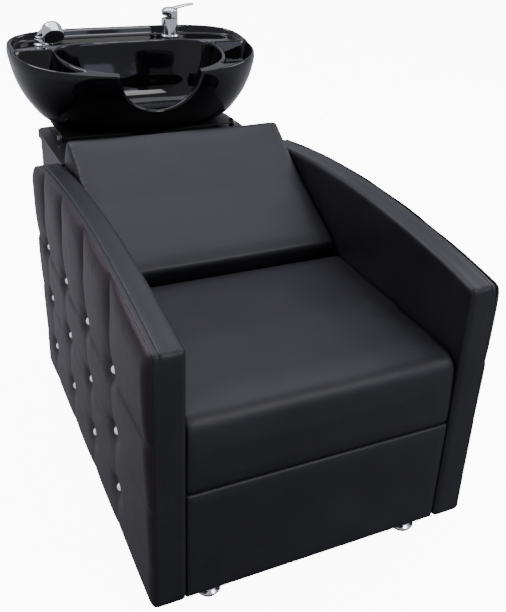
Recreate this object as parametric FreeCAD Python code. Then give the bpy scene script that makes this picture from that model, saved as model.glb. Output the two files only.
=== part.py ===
import FreeCAD, Part
import math
import os
from FreeCAD import Vector

os.makedirs("parts", exist_ok=True)

# Salon backwash unit: a padded seat and back between two tufted side panels, with a cabinet behind
# them that carries a tilting ceramic basin. Millimetres, +Z up, the front of the seat faces -Y and
# the origin lies on the floor under the middle of the whole unit.

# General sizes
board = 18.0
overrun = 40.0
soft_gap = 0.3
pin_clearance = 0.05
screw_clearance = 0.2
edge_tolerance = 0.01
parallel_share = 0.001
nut_sides = 6
pin_sides = 8

# Side panels, which are also the arm rests
overall_width = 680.0
arm_thickness = 63.0
arm_length = 905.0
arm_front_height = 576.0
arm_crown_height = 619.0
arm_rear_height = 586.0
arm_front_round = 12.0
arm_rear_round = 30.0
arm_foot_round = 14.0
arm_outer_round = 9.0
arm_inner_round = 7.0
arm_padding = 9.0
tuft_thickness = 15.0
tuft_depth = 10.0
tuft_border_drop = 3.0
tuft_cross_rise = 1.5
button_columns = 4
button_rows = 3
first_column_back = 228.0
last_column_margin = 113.0
first_row_height = 133.0
top_row_drop = 163.0
button_radius = 6.5
button_base = 2.5
crystal_radius = 5.0
crystal_tip_radius = 2.6
crystal_height = 3.0
crystal_sides = 8
button_sink = 1.6
button_clearance = 0.4

# Feet
foot_height = 28.0
foot_radius = 25.0
foot_waist_radius = 19.0
foot_flange = 4.0
foot_pad = 3.0
foot_pad_radius = 21.0
foot_stud_radius = 4.0
foot_stud_length = 26.0
foot_inset = 55.0
front_foot_back = 36.0
rear_foot_inset = 30.0

# Seat
seat_front = 3.0
seat_depth = 469.0
seat_top = 441.0
seat_seam = 274.0
seat_front_round = 17.0
seat_rear_round = 14.0
seat_crown = 5.0
seat_cross_crown = 6.0
seat_side_round = 13.0
seat_side_tuck = 3.0
side_bow_share = 0.25
seat_side_gap = 1.5
batten = 26.0
batten_front = 62.0
divider_back = 500.0

# Front panel
panel_padding = 11.0
panel_board = 15.0
panel_gap = 2.0
panel_round = 5.0
rail_depth = 44.0
rail_height = 40.0

# Back cushion, in its own slope: along runs up the slope, off stands square to it
back_foot_back = 479.0
back_foot_height = 467.0
back_length = 405.0
back_slope = 29.75
back_thickness = 90.0
back_hollow = 8.0
back_foot_round = 16.0
back_head_round = 24.0
back_side_round = 20.0
back_side_gap = 3.0
back_side_tuck = 4.0
back_board = 15.0
back_inset = 12.0

# Cabinet
cabinet_front = 882.0
cabinet_rear = 1130.0
cabinet_top = 585.0
top_overhang = 70.0
top_round = 28.0
access_margin = 26.0
access_board = 12.0
access_screw_radius = 2.5
access_head_radius = 5.5
access_head = 3.0
plumbing_hole_radius = 58.0

# Basin: the rim slopes up to the rear, and the foot is level
basin_set_back = 915.0
basin_depth = 420.0
basin_half_width = 332.0
basin_foot_height = 606.0
rim_front_height = 776.0
rim_rear_height = 824.0
rim_band = 14.0
wall = 12.0
casting_joint = 5.0
widest_share = 0.63
front_power = 2.4
rear_power = 3.2
plan_steps = 12
flat_steps = 10
flat_levels = (0, 2, 4, 6)
bowl_floor_height = 628.0
bowl_mouth_half = 224.0
bowl_floor_half = 150.0
bowl_front_gap = 14.0
bowl_floor_front_back = 1035.0
bowl_floor_rear_back = 1196.0
bowl_rear_back = 1243.0
deck_height = 799.0
deck_front_back = 1168.0
pocket_floor_height = 748.0
pocket_front_back = 985.0
pocket_rear_back = 1152.0
ridge = 12.0
notch_half = 106.0
notch_bottom_height = 676.0
notch_depth_back = 120.0
notch_steps = 8

# Tilting bracket under the basin
sheet = 3.0
ear = 4.0
pivot_back = 1050.0
pivot_rise = 10.0
ear_round = 13.0
ear_inset = 33.0
bracket_front_back = 1030.0
bracket_rear_back = 1192.0
ear_clearance = 1.0
carrier_hole_radius = 48.0
pivot_bolt_radius = 4.0
pivot_head_radius = 7.5
pivot_head = 5.5
pad = 3.0
pad_radius = 14.0
pad_inset = 22.0
pad_front_back = 1064.0
pad_rear_back = 1176.0
basin_bolt_radius = 3.0
basin_bolt_head_radius = 5.5
basin_bolt_head = 3.5
basin_bolt_reach = 14.0
bracket_screw_inset = 39.0
bracket_screw_front_back = 1076.0
bracket_screw_rear_back = 1168.0
bracket_screw_radius = 3.0
bracket_screw_head_radius = 6.0
bracket_screw_head = 2.5
bracket_screw_reach = 15.0

# Waste
drain_back = 1092.0
drain_radius = 25.0
drain_flange_radius = 38.0
drain_flange = 3.0
drain_wall = 3.0
drain_gasket = 2.0
drain_tube_height = 556.0
drain_nut_radius = 35.0
drain_nut = 9.0
drain_washer = 3.0
spigot_radius = 16.0
spigot_wall = 2.5
spigot_length = 46.0
spigot_collar = 8.0
strainer_radius = 21.0
strainer_flange_radius = 28.0
strainer_depth = 16.0
strainer_wall = 1.5
strainer_holes = 8
strainer_hole_radius = 3.0
strainer_knob_radius = 4.0
strainer_knob = 9.0

# Mixer tap
tap_inset = 197.0
tap_back = 1268.0
tap_gasket = 2.0
tap_flange_radius = 26.0
tap_flange = 6.0
tap_radius = 23.5
tap_body_height = 51.0
cartridge_radius = 16.5
cartridge_depth = 36.0
shank_radius = 14.0
shank_length = 52.0
tap_nut_radius = 20.0
tap_nut = 9.0
stem_radius = 5.0
stem_length = 27.0
stem_seat = 9.0
lift_rise = 5.0
cap_gap = 1.0
cap_height = 28.0
cap_dome = 5.0
cap_cavity_radius = 12.5
cap_cavity_height = 21.0
cap_relief = 9.0
lever_pin_radius = 2.0
lever_reach = 72.0
lever_tip_rise = 15.0
lever_thickness = 5.0
lever_width = 15.0
lever_bend_share = 0.75
inlet_radius = 5.0
inlet_length = 26.0
inlet_spread = 6.6

# Hand shower
shower_inset = 94.0
shower_back = 1240.0
holder_radius = 17.0
holder_flange_radius = 21.0
holder_flange = 3.0
holder_height = 17.0
holder_reach = 34.0
holder_nut_radius = 25.0
holder_nut = 8.0
grip_radius = 11.0
grip_length = 74.0
grip_shoulder_radius = 15.0
grip_shoulder = 5.0
neck_radius = 10.0
head_radius = 28.0
head_length = 40.0
head_back_radius = 19.0
head_taper_share = 0.33
head_rise = 11.0
head_forward = 41.0
head_sideways = 28.0
head_dip = 14.0
head_turn = 4.0
nozzle_plate_radius = 24.0
nozzle_plate = 3.0
nozzle_rings = 3
nozzles_to_ring = 6
nozzle_margin = 3.9
nozzle_radius = 1.3
nozzle_height = 1.2
hose_thread_radius = 8.0
hose_thread_length = 9.0

# Worked out from the sizes above
overall_length = basin_set_back + basin_depth
inner_half = overall_width / 2 - arm_thickness
arm_outer = overall_width / 2
column_pitch = (arm_length - first_column_back - last_column_margin) / (button_columns - 1)
row_pitch = (arm_front_height - first_row_height - top_row_drop) / (button_rows - 1)
foot_across = inner_half - foot_inset
ear_outer_half = inner_half - ear_inset
bracket_screw_across = ear_outer_half - bracket_screw_inset
pad_across = bowl_floor_half - pad_inset
tap_across = basin_half_width - tap_inset
shower_across = shower_inset - basin_half_width
head_taper = head_length * head_taper_share
tuft_base = arm_outer - tuft_thickness
valley = arm_outer - tuft_depth
seat_half = inner_half - seat_side_gap
seat_board_rear = divider_back + board
plate_top = cabinet_top + sheet
pivot_height = plate_top + pivot_rise
carrier_top = basin_foot_height - pad
carrier_bottom = carrier_top - sheet
body_top = deck_height + tap_gasket + tap_body_height
lift_height = body_top + lift_rise
deck_underside = deck_height - wall
tilt_span = rim_rear_height - rim_front_height
quarter_share = 1 - math.sqrt(0.5)
UP = Vector(0, 0, 1)
RIGHT = Vector(1, 0, 0)
BACK = Vector(0, 1, 0)


def at(across, back, up):
    """A point by its distance across, behind the front plane and above the floor."""
    return Vector(across, back - overall_length / 2, up)


def line(a, b):
    return Part.LineSegment(a, b).toShape()


def arc(a, middle, b):
    return Part.Arc(a, middle, b).toShape()


def smooth(points):
    curve = Part.BSplineCurve()
    curve.interpolate(points)
    return curve.toShape()


def right_way_out(shape):
    """The same solid with a positive volume."""
    solid = shape.Solids[0] if len(shape.Solids) == 1 else shape
    if solid.Volume < 0:
        solid.reverse()
    return solid


def drawn(edges, move):
    """A solid drawn out from the closed outline of the edges."""
    face = Part.Face(Part.Wire(Part.__sortEdges__(edges)))
    return right_way_out(face.extrude(move))


def polygon(points, move):
    closed = points + [points[0]]
    return right_way_out(Part.Face(Part.makePolygon(closed)).extrude(move))


def block(left, right, front, rear, low, high):
    return Part.makeBox(right - left, rear - front, high - low, at(left, front, low))


def rod(centre, radius, length, along=UP):
    return Part.makeCylinder(radius, length, centre, along)


def tube(centre, outer, inner, length, along=UP):
    return rod(centre, outer, length, along).cut(rod(centre, inner, length, along))


def corners_round(centre, radius, sides, along):
    ring = Part.Circle(centre, along, radius)
    return [ring.value(2 * math.pi * side / sides) for side in range(sides)]


def prism(centre, radius, length, sides, along=UP):
    """A flat-sided bar, radius to the corners."""
    return polygon(corners_round(centre, radius, sides, along), along * length)


def hexagon(centre, radius, length, along=UP):
    return prism(centre, radius, length, nut_sides, along)


def pin(centre, radius, length, along=UP):
    """A screw's or stud's shank or its hole, with few sides."""
    return prism(centre, radius, length, pin_sides, along)


def tapered(centre, low_radius, high_radius, length, sides, along):
    """A flat-sided bar that narrows along its length."""
    wires = []
    for spot, radius in ((centre, low_radius), (centre + along * length, high_radius)):
        corners = corners_round(spot, radius, sides, along)
        wires.append(Part.makePolygon(corners + [corners[0]]))
    return right_way_out(Part.makeLoft(wires, True, True))


def turned(centre, outline):
    """A body of revolution about the vertical through centre; outline holds radius and height pairs."""
    points = [centre + Vector(radius, 0, height) for radius, height in outline]
    face = Part.Face(Part.makePolygon(points + [points[0]]))
    return right_way_out(face.revolve(centre, UP, 360))


def edges_where(shape, wanted):
    return [edge for edge in shape.Edges if wanted(edge)]


def edges_at(shape, across):
    """The edges that lie in the upright plane at a distance across."""
    return edges_where(shape, lambda edge: edge.BoundBox.XLength < edge_tolerance
                       and abs(edge.CenterOfMass.x - across) < edge_tolerance)


def runs_along(edge, direction):
    first, last = edge.Vertexes[0].Point, edge.Vertexes[-1].Point
    way = last - first
    return way.Length > 0 and way.cross(direction).Length < way.Length * parallel_share


def joined(solids):
    whole = solids[0].multiFuse(solids[1:]) if len(solids) > 1 else solids[0]
    return whole.removeSplitter()


def apart(solids):
    """Separate solids kept together as one group."""
    return Part.makeCompound(solids)


def mirrored(shape):
    return shape.mirror(Vector(0, 0, 0), RIGHT)


def save(name, shape):
    shape.exportStep("parts/" + name + ".step")
    print(name, len(shape.Solids), "solids", round(shape.Volume / 1000.0, 1), "cm3", shape.isValid())


def save_pair(name, shape):
    """The right-hand piece as modelled and its left-hand mirror image."""
    save("right_" + name, shape)
    save("left_" + name, mirrored(shape))


# Side panels
def arm_outline(across, inset):
    """The closed side view of an arm, drawn in by inset everywhere but at the floor side."""
    front = at(across, inset, foot_height)
    front_top = at(across, inset, arm_front_height - inset)
    crown = at(across, arm_length / 2, arm_crown_height - inset)
    rear_top = at(across, arm_length - inset, arm_rear_height - inset)
    rear = at(across, arm_length - inset, foot_height)
    top = arc(front_top, crown, rear_top)
    return [line(front, front_top), top, line(rear_top, rear), line(rear, front)]


def arm_block(inner, outer):
    """The padded outer form of a right arm, from its inner to its outer plane."""
    shape = drawn(arm_outline(inner, 0), RIGHT * (outer - inner))
    middle = at(0, arm_length / 2, arm_front_height / 2)

    def corner(front, upper):
        def wanted(edge):
            centre = edge.CenterOfMass
            in_place = (centre.y < middle.y) == front and (centre.z > middle.z) == upper
            return runs_along(edge, RIGHT) and in_place
        return edges_where(shape, wanted)

    shape = shape.makeFillet(arm_front_round, corner(True, True))
    shape = shape.makeFillet(arm_rear_round, corner(False, True))
    shape = shape.makeFillet(arm_foot_round, corner(True, False) + corner(False, False))
    shape = shape.makeFillet(arm_outer_round, edges_at(shape, outer))
    return shape.makeFillet(arm_inner_round, edges_at(shape, inner))


def arm_core():
    inner = inner_half + arm_padding
    return drawn(arm_outline(inner, arm_padding), RIGHT * (tuft_base - inner))


def arm_cover(core):
    soft = arm_block(inner_half, arm_outer + tuft_border_drop)
    return right_way_out(soft.cut(tuft_side()).cut(core))


def tuft_side():
    """The space outside the plane where the quilted panel begins."""
    return block(tuft_base, arm_outer + overrun, -overrun, arm_length + overrun,
                 -overrun, arm_crown_height + overrun)


def tuft_columns():
    return [first_column_back + column_pitch * column for column in range(button_columns)]


def tuft_rows():
    return [first_row_height + row_pitch * row for row in range(button_rows)]


def puffs(stations, place, rise, move):
    """A row of arched cells between stations; place turns across and station into a point."""
    edges = []
    deep = tuft_base - overrun
    border = arm_outer + rise - tuft_border_drop
    last = len(stations) - 2
    for cell in range(len(stations) - 1):
        start, end = stations[cell], stations[cell + 1]
        start_across = border if cell == 0 else valley
        end_across = border if cell == last else valley
        crest = place(arm_outer + rise, (start + end) / 2)
        edges.append(arc(place(start_across, start), crest, place(end_across, end)))
    edges.append(line(place(border, stations[-1]), place(deep, stations[-1])))
    edges.append(line(place(deep, stations[-1]), place(deep, stations[0])))
    edges.append(line(place(deep, stations[0]), place(border, stations[0])))
    return drawn(edges, move)


def button_places():
    return [at(valley - button_sink, back, up) for back in tuft_columns() for up in tuft_rows()]


def tufted_panel():
    """The quilted outer side, arched cell by cell and drawn in along the sewn lines."""
    low, high = foot_height, arm_crown_height
    upright = puffs([0] + tuft_columns() + [arm_length],
                    lambda across, back: at(across, back, low - overrun), 0,
                    UP * (high - low + 2 * overrun))
    level = puffs([low] + tuft_rows() + [high],
                  lambda across, up: at(across, -overrun, up), tuft_cross_rise,
                  BACK * (arm_length + 2 * overrun))
    panel = arm_block(inner_half, arm_outer + tuft_border_drop).common(tuft_side())
    panel = panel.common(upright).common(level)
    radius = button_radius + button_clearance
    depth = tuft_depth + button_sink
    sockets = [prism(place, radius, depth, crystal_sides, RIGHT) for place in button_places()]
    return right_way_out(cut_all(panel, sockets))


def crystal_buttons():
    """Cut stones, each on its setting."""
    buttons = []
    for place in button_places():
        setting = prism(place, button_radius, button_base, crystal_sides, RIGHT)
        stone = tapered(place + RIGHT * button_base, crystal_radius, crystal_tip_radius, crystal_height,
                        crystal_sides, RIGHT)
        buttons.append(joined([setting, stone]))
    return apart(buttons)


# Feet and base
def foot_places():
    rear = cabinet_rear - rear_foot_inset
    return {"left_front": (-foot_across, front_foot_back), "right_front": (foot_across, front_foot_back),
            "left_rear": (-foot_across, rear), "right_rear": (foot_across, rear)}


def foot(across, back):
    centre = at(across, back, 0)
    top = foot_height
    cup = turned(centre, [(0, foot_pad), (foot_radius, foot_pad), (foot_radius, 2 * foot_flange + foot_pad),
                          (foot_waist_radius, 3 * foot_flange + foot_pad), (foot_waist_radius, top),
                          (0, top)])
    stud = pin(centre + UP * (top - foot_flange), foot_stud_radius, foot_stud_length + foot_flange)
    return joined([cup, stud])


def foot_pads():
    places = foot_places().values()
    return apart([rod(at(across, back, 0), foot_pad_radius, foot_pad) for across, back in places])


def stud_holes():
    radius = foot_stud_radius + screw_clearance
    length = foot_stud_length + screw_clearance
    return [pin(at(across, back, foot_height), radius, length) for across, back in foot_places().values()]


def cut_all(shape, tools):
    for tool in tools:
        shape = shape.cut(tool)
    return shape


def rail(half, front, rear):
    bar = block(-half, half, front, rear, foot_height, foot_height + rail_height)
    return cut_all(bar, stud_holes())


# Seat box
def seat_cushion():
    """Crowned both ways, with a rounded front edge that drops over the board to the seam."""
    front, rear = seat_front, seat_front + seat_depth
    top = seat_top
    bottom = seat_seam + board
    lip = front + board
    knee = seat_front_round * quarter_share
    heel = seat_rear_round * quarter_share
    shoulder = top - seat_crown

    def side(back, up):
        return at(-inner_half - overrun, back, up)

    lengthwise = drawn([
        line(side(front, seat_seam + panel_gap), side(front, shoulder - seat_front_round)),
        arc(side(front, shoulder - seat_front_round), side(front + knee, shoulder - knee),
            side(front + seat_front_round, shoulder)),
        arc(side(front + seat_front_round, shoulder), side((front + rear) / 2, top),
            side(rear - seat_rear_round, shoulder)),
        arc(side(rear - seat_rear_round, shoulder), side(rear - heel, shoulder - heel),
            side(rear, shoulder - seat_rear_round)),
        line(side(rear, shoulder - seat_rear_round), side(rear, bottom)),
        line(side(rear, bottom), side(lip, bottom)),
        line(side(lip, bottom), side(lip, seat_seam + panel_gap)),
        line(side(lip, seat_seam + panel_gap), side(front, seat_seam + panel_gap)),
    ], RIGHT * (2 * (inner_half + overrun)))
    return lengthwise.common(crosswise(seat_half, seat_seam, top + tuft_cross_rise, seat_cross_crown,
                                       seat_side_round, seat_side_tuck, front - overrun,
                                       seat_depth + 2 * overrun))


def crosswise(half, low, top, crown, side_round, tuck, start_back, length):
    """A cushion's cross-section, drawn out to the rear: crowned top, bowed sides drawn in at the foot."""
    shoulder = top - crown
    knee = side_round * quarter_share

    def end(across, up):
        return at(across, start_back, up)

    edges = [arc(end(-half + side_round, shoulder), end(0, top), end(half - side_round, shoulder))]
    for hand in (1, -1):
        corner = half - side_round
        edges.append(arc(end(hand * corner, shoulder), end(hand * (half - knee), shoulder - knee),
                         end(hand * half, shoulder - side_round)))
        edges.append(arc(end(hand * half, shoulder - side_round),
                         end(hand * (half - tuck * side_bow_share), (shoulder - side_round + low) / 2),
                         end(hand * (half - tuck), low)))
    edges.append(line(end(half - tuck, low), end(-half + tuck, low)))
    return drawn(edges, BACK * length)


def seat_board():
    front = seat_front + board + soft_gap
    return block(-seat_half, seat_half, front, seat_board_rear, seat_seam, seat_seam + board)


def divider():
    return block(-inner_half, inner_half, divider_back, seat_board_rear, foot_height + board, seat_seam)


def bolt_rows(low, high, front, rear):
    """Two bolts through a batten, at its ends."""
    middle = (low + high) / 2
    return [(front + batten, middle), (rear - batten, middle)]


def seat_batten():
    bar = block(inner_half - batten, inner_half, batten_front, divider_back, seat_seam - batten, seat_seam)
    return cut_all(bar, batten_bolt_tools(screw_clearance))


def batten_bolt_places():
    rows = bolt_rows(seat_seam - batten, seat_seam, batten_front, divider_back)
    return [at(inner_half - batten, back, up) for back, up in rows]


def batten_bolt_tools(clearance):
    radius = access_screw_radius + clearance
    length = batten + arm_padding + board + clearance
    return [pin(place, radius, length, RIGHT) for place in batten_bolt_places()]


def arm_bolts():
    bolts = []
    for place, shank in zip(batten_bolt_places(), batten_bolt_tools(0)):
        head = hexagon(place - RIGHT * access_head, access_head_radius, access_head, RIGHT)
        bolts.append(joined([head, shank]))
    return apart(bolts + [mirrored(bolt) for bolt in bolts])


def bottom_board():
    front = seat_front + panel_padding + rail_depth
    rear = cabinet_rear - rail_depth
    high = foot_height + board
    wide = block(-inner_half, inner_half, front, cabinet_front, foot_height, high)
    narrow = block(board - inner_half, inner_half - board, cabinet_front, rear, foot_height, high)
    return joined([wide, narrow])


def front_panel_board():
    front = seat_front + panel_padding
    return block(-seat_half, seat_half, front, front + panel_board,
                 foot_height + rail_height, seat_seam - panel_gap)


def front_panel_cover():
    pad = block(-seat_half, seat_half, seat_front, seat_front + panel_padding,
                foot_height, seat_seam - panel_gap)
    face = at(0, seat_front, 0).y + edge_tolerance
    return pad.makeFillet(panel_round, edges_where(pad, lambda edge: edge.BoundBox.YMax < face))


# Back rest, modelled level and then laid on its slope
def on_slope(shape):
    """Turns a piece modelled with its foot at the front plane and its face at floor level."""
    laid = shape.copy()
    laid.rotate(at(0, 0, 0), RIGHT, back_slope)
    laid.translate(at(0, back_foot_back, back_foot_height) - at(0, 0, 0))
    return laid


def back_cushion():
    half = inner_half - back_side_gap
    foot_knee = back_foot_round * quarter_share
    head_knee = back_head_round * quarter_share

    def side(along, off):
        return at(-inner_half - overrun, along, off)

    lengthwise = drawn([
        line(side(0, -back_thickness), side(0, -back_foot_round)),
        arc(side(0, -back_foot_round), side(foot_knee, -foot_knee), side(back_foot_round, 0)),
        arc(side(back_foot_round, 0), side(back_length / 2, -back_hollow),
            side(back_length - back_head_round, 0)),
        arc(side(back_length - back_head_round, 0), side(back_length - head_knee, -head_knee),
            side(back_length, -back_head_round)),
        line(side(back_length, -back_head_round), side(back_length, -back_thickness)),
        line(side(back_length, -back_thickness), side(0, -back_thickness)),
    ], RIGHT * (2 * (inner_half + overrun)))
    across = crosswise(half, -back_thickness, back_hollow, back_hollow, back_side_round, back_side_tuck,
                       -overrun, back_length + 2 * overrun)
    return on_slope(lengthwise.common(across))


def back_support():
    low = -back_thickness - back_board
    return on_slope(block(-inner_half + back_side_gap, inner_half - back_side_gap, back_inset,
                          back_length - back_inset, low, -back_thickness))


def back_batten():
    top = -back_thickness - back_board
    return on_slope(block(inner_half - batten, inner_half, 2 * back_inset, back_length - 2 * back_inset,
                          top - batten, top))


# Cabinet
def cabinet_side():
    return block(inner_half - board, inner_half, cabinet_front, cabinet_rear,
                 foot_height, cabinet_top - board)


def cabinet_front_board():
    return block(-inner_half + board, inner_half - board, cabinet_front, cabinet_front + board,
                 foot_height + board, cabinet_top - board)


def cabinet_lid():
    rear = cabinet_rear + top_overhang
    lid = block(-inner_half, inner_half, cabinet_front, rear, cabinet_top - board, cabinet_top)
    middle = lid.CenterOfMass.y
    corners = edges_where(lid, lambda edge: runs_along(edge, UP) and edge.CenterOfMass.y > middle)
    lid = lid.makeFillet(top_round, corners)
    hole = rod(at(0, drain_back, cabinet_top - board - overrun), plumbing_hole_radius, board + 2 * overrun)
    return cut_all(lid.cut(hole), bracket_screw_tools(screw_clearance))


def access_places():
    across = inner_half - board / 2
    low = foot_height + rail_height + access_margin
    high = cabinet_top - board - access_margin
    return [(hand * across, up) for hand in (-1, 1) for up in (low, (low + high) / 2, high)]


def access_screws():
    screws = []
    for across, up in access_places():
        head = pin(at(across, cabinet_rear + access_board, up), access_head_radius, access_head, BACK)
        shank = pin(at(across, cabinet_rear - board, up), access_screw_radius, board + access_board, BACK)
        screws.append(joined([head, shank]))
    return apart(screws)


def access_tools():
    radius = access_screw_radius + screw_clearance
    return [pin(at(across, cabinet_rear - board - screw_clearance, up), radius, 2 * board, BACK)
            for across, up in access_places()]


def access_panel():
    panel = block(-inner_half, inner_half, cabinet_rear, cabinet_rear + access_board,
                  foot_height, cabinet_top - board)
    return cut_all(panel, access_tools())


# Basin
def half_plan(half, front, rear, steps):
    """Places across and back from the front middle to the rear middle, on the right-hand side."""
    widest = front + (rear - front) * widest_share
    places = []
    for step in range(steps + 1):
        turn = math.pi * step / steps - math.pi / 2
        sine = math.sin(turn)
        power, reach = (front_power, widest - front) if sine < 0 else (rear_power, rear - widest)
        across = half * abs(math.cos(turn)) ** (2 / power)
        places.append((across, widest + reach * math.copysign(abs(sine) ** (2 / power), sine)))
    return places


def both_sides(outline, steps):
    """The points of a level or sloping outline, up its right-hand side and back down its left."""
    half, front, rear, front_height, rear_height = outline
    right = []
    for across, back in half_plan(half, front, rear, steps):
        height = front_height + (rear_height - front_height) * (back - front) / (rear - front)
        right.append(at(across, back, height))
    left = [Vector(-point.x, point.y, point.z) for point in reversed(right)]
    return right, left


def plan(outline):
    """A closed outline of arcs from one formula: a full front and a squarer rear."""
    edges = []
    for side in both_sides(outline, plan_steps):
        for start in range(0, plan_steps, 2):
            edges.append(arc(side[start], side[start + 1], side[start + 2]))
    return Part.Wire(edges)


def flat_plan(outline):
    """The same outline with flat sides, for the unseen inside of the casting."""
    right, left = both_sides(outline, flat_steps)
    return Part.makePolygon(right + left[1:])


basin_rear = basin_set_back + basin_depth
foot_rise = rim_front_height - basin_foot_height
shell_half_shares = (0.67, 0.765, 0.875, 0.955, 0.997, 1.008, 1.0)
shell_front_shares = (0.205, 0.165, 0.11, 0.06, 0.02, 0.004, 0.0)
shell_rear_shares = (0.19, 0.155, 0.112, 0.068, 0.03, 0.008, 0.0)
shell_height_shares = (0.0, 0.1, 0.32, 0.58, 0.82, 0.95, 1.0)
shell_slope_shares = (0.0, 0.0, 0.06, 0.22, 0.55, 0.85, 1.0)


def shell_outlines(inset, drop):
    """The outer form level by level, drawn in by inset; drop lengthens it past its foot."""
    outlines = []
    for level, height_share in enumerate(shell_height_shares):
        height = basin_foot_height + foot_rise * height_share
        if level == 0:
            height -= drop
        outlines.append((basin_half_width * shell_half_shares[level] - inset,
                         basin_set_back + basin_depth * shell_front_shares[level] + inset,
                         basin_rear - basin_depth * shell_rear_shares[level] - inset,
                         height, height + tilt_span * shell_slope_shares[level]))
    return outlines


bowl_level_shares = (0.0, 0.07, 0.42, 0.8, 1.0)
bowl_spread_shares = (0.0, 0.28, 0.68, 0.92, 1.0)


def bowl_outlines(grow, front_grow, drop, rise):
    """The wash bowl's inner form level by level, or its outer form when grown by the wall."""
    front = basin_set_back + bowl_front_gap
    outlines = []
    for level, spread in zip(bowl_level_shares, bowl_spread_shares):
        height = bowl_floor_height + (rim_rear_height - bowl_floor_height) * level
        if level == 0:
            height -= drop
        if level == 1:
            height += rise
        half = bowl_floor_half + (bowl_mouth_half - bowl_floor_half) * spread + grow
        near = bowl_floor_front_back + (front - bowl_floor_front_back) * spread - front_grow
        far = bowl_floor_rear_back + (bowl_rear_back - bowl_floor_rear_back) * spread + grow
        outlines.append((half, near, far, height, height))
    return outlines


def loft(outlines, wire_of=plan):
    return right_way_out(Part.makeLoft([wire_of(outline) for outline in outlines], True, True))


def upright_plan(inset, low, high):
    """An upright block of the rim's plan, drawn in by inset."""
    wire = plan((basin_half_width - inset, basin_set_back + inset, basin_rear - inset, low, low))
    return right_way_out(Part.Face(wire).extrude(UP * (high - low)))


def hollow_underneath(bowl_outside):
    """The open space under the deck, between the bowl and the outer skirt."""
    levels = shell_outlines(wall, overrun)
    inside = loft([levels[level] for level in flat_levels], flat_plan)
    low = basin_foot_height - 2 * overrun
    front_part = block(-overall_width, overall_width, basin_set_back, deck_front_back,
                       low, pocket_floor_height - wall)
    rear_part = block(-overall_width, overall_width, deck_front_back, basin_rear, low, deck_underside)
    return inside.common(joined([front_part, rear_part])).cut(bowl_outside)


def corner_pocket():
    """The small tray in the right front corner, outside the bowl's ridge."""
    top = rim_rear_height + overrun
    tray = upright_plan(rim_band, pocket_floor_height, top)
    tray = tray.common(block(0, overall_width, pocket_front_back, pocket_rear_back,
                             pocket_floor_height, top))
    front = basin_set_back + bowl_front_gap
    level = pocket_floor_height
    mouth = plan((bowl_mouth_half + ridge, front - ridge, bowl_rear_back + ridge, level, level))
    return tray.cut(Part.Face(mouth).extrude(UP * (top - pocket_floor_height)))


def notch_cutter():
    """The neck rest's U, run through the front wall."""
    top = rim_rear_height + overrun
    points = []
    for step in range(-notch_steps, notch_steps + 1):
        lean = math.pi / 2 * step / notch_steps
        points.append(at(notch_half * math.sin(lean), basin_set_back - overrun,
                         rim_front_height - (rim_front_height - notch_bottom_height) * math.cos(lean)))
    left, right = points[0], points[-1]
    high_left, high_right = left + UP * (top - left.z), right + UP * (top - right.z)
    edges = [smooth(points), line(right, high_right), line(high_right, high_left), line(high_left, left)]
    return drawn(edges, BACK * (overrun + notch_depth_back))


def basin_castings():
    """The ceramic's two castings: the wash bowl with its neck notch, and the skirt with the tap deck
    and corner trays, which are joined at the rim before they are fired."""
    bowl_outside = loft(bowl_outlines(wall, overrun, overrun, 0), flat_plan)
    shape = loft(shell_outlines(0, 0)).cut(hollow_underneath(bowl_outside))
    shape = shape.cut(loft(bowl_outlines(0, 0, 0, overrun)))
    deck = upright_plan(rim_band, deck_height, rim_rear_height + overrun)
    deck = deck.common(block(-overall_width, overall_width, deck_front_back, basin_rear, deck_height,
                             rim_rear_height + overrun))
    shape = shape.cut(deck)
    pocket = corner_pocket()
    shape = shape.cut(pocket).cut(mirrored(pocket)).cut(notch_cutter())
    low = deck_underside - overrun
    holes = [rod(at(tap_across, tap_back, low), shank_radius + screw_clearance, 2 * overrun),
             rod(at(shower_across, shower_back, low), holder_radius - sheet + screw_clearance, 2 * overrun),
             rod(at(0, drain_back, basin_foot_height - overrun), drain_radius + screw_clearance,
                 2 * overrun)]
    holes += [pin(place, basin_bolt_radius + screw_clearance, basin_bolt_reach + screw_clearance)
              for place in pad_places(basin_foot_height)]
    shape = right_way_out(cut_all(shape, holes))
    bowl_side = loft(bowl_outlines(wall + casting_joint, overrun, overrun, 0), flat_plan)
    return right_way_out(shape.common(bowl_side)), right_way_out(shape.cut(bowl_side))


# Tilting bracket
def pad_places(height):
    backs = (pad_front_back, pad_rear_back)
    return [at(hand * pad_across, back, height) for hand in (-1, 1) for back in backs]


def upright_ear(across, thickness, low, high, turn_height):
    """A sheet ear around the pivot, rounded on its free end, on the right-hand side."""
    knob = rod(at(across, pivot_back, turn_height), ear_round, thickness, RIGHT)
    near, far = min(low, high), max(low, high)
    web = block(across, across + thickness, pivot_back - ear_round, pivot_back + ear_round, near, far)
    return joined([knob, web])


def bracket_plate(low, half, hole_radius):
    plate = block(-half, half, bracket_front_back, bracket_rear_back, low, low + sheet)
    return plate.cut(rod(at(0, drain_back, low - overrun), hole_radius, 2 * overrun))


def bracket_base():
    plate = bracket_plate(cabinet_top, ear_outer_half, plumbing_hole_radius - sheet)
    right_ear = upright_ear(ear_outer_half - ear, ear, cabinet_top, pivot_height, pivot_height)
    floor_cut = block(-overall_width, overall_width, bracket_front_back, bracket_rear_back,
                      cabinet_top - overrun, cabinet_top)
    shape = joined([plate, right_ear, mirrored(right_ear)]).cut(floor_cut)
    return cut_all(shape, pivot_tools(pin_clearance) + bracket_screw_tools(screw_clearance))


def carrier_ear_across():
    return ear_outer_half - 2 * ear - ear_clearance


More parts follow.
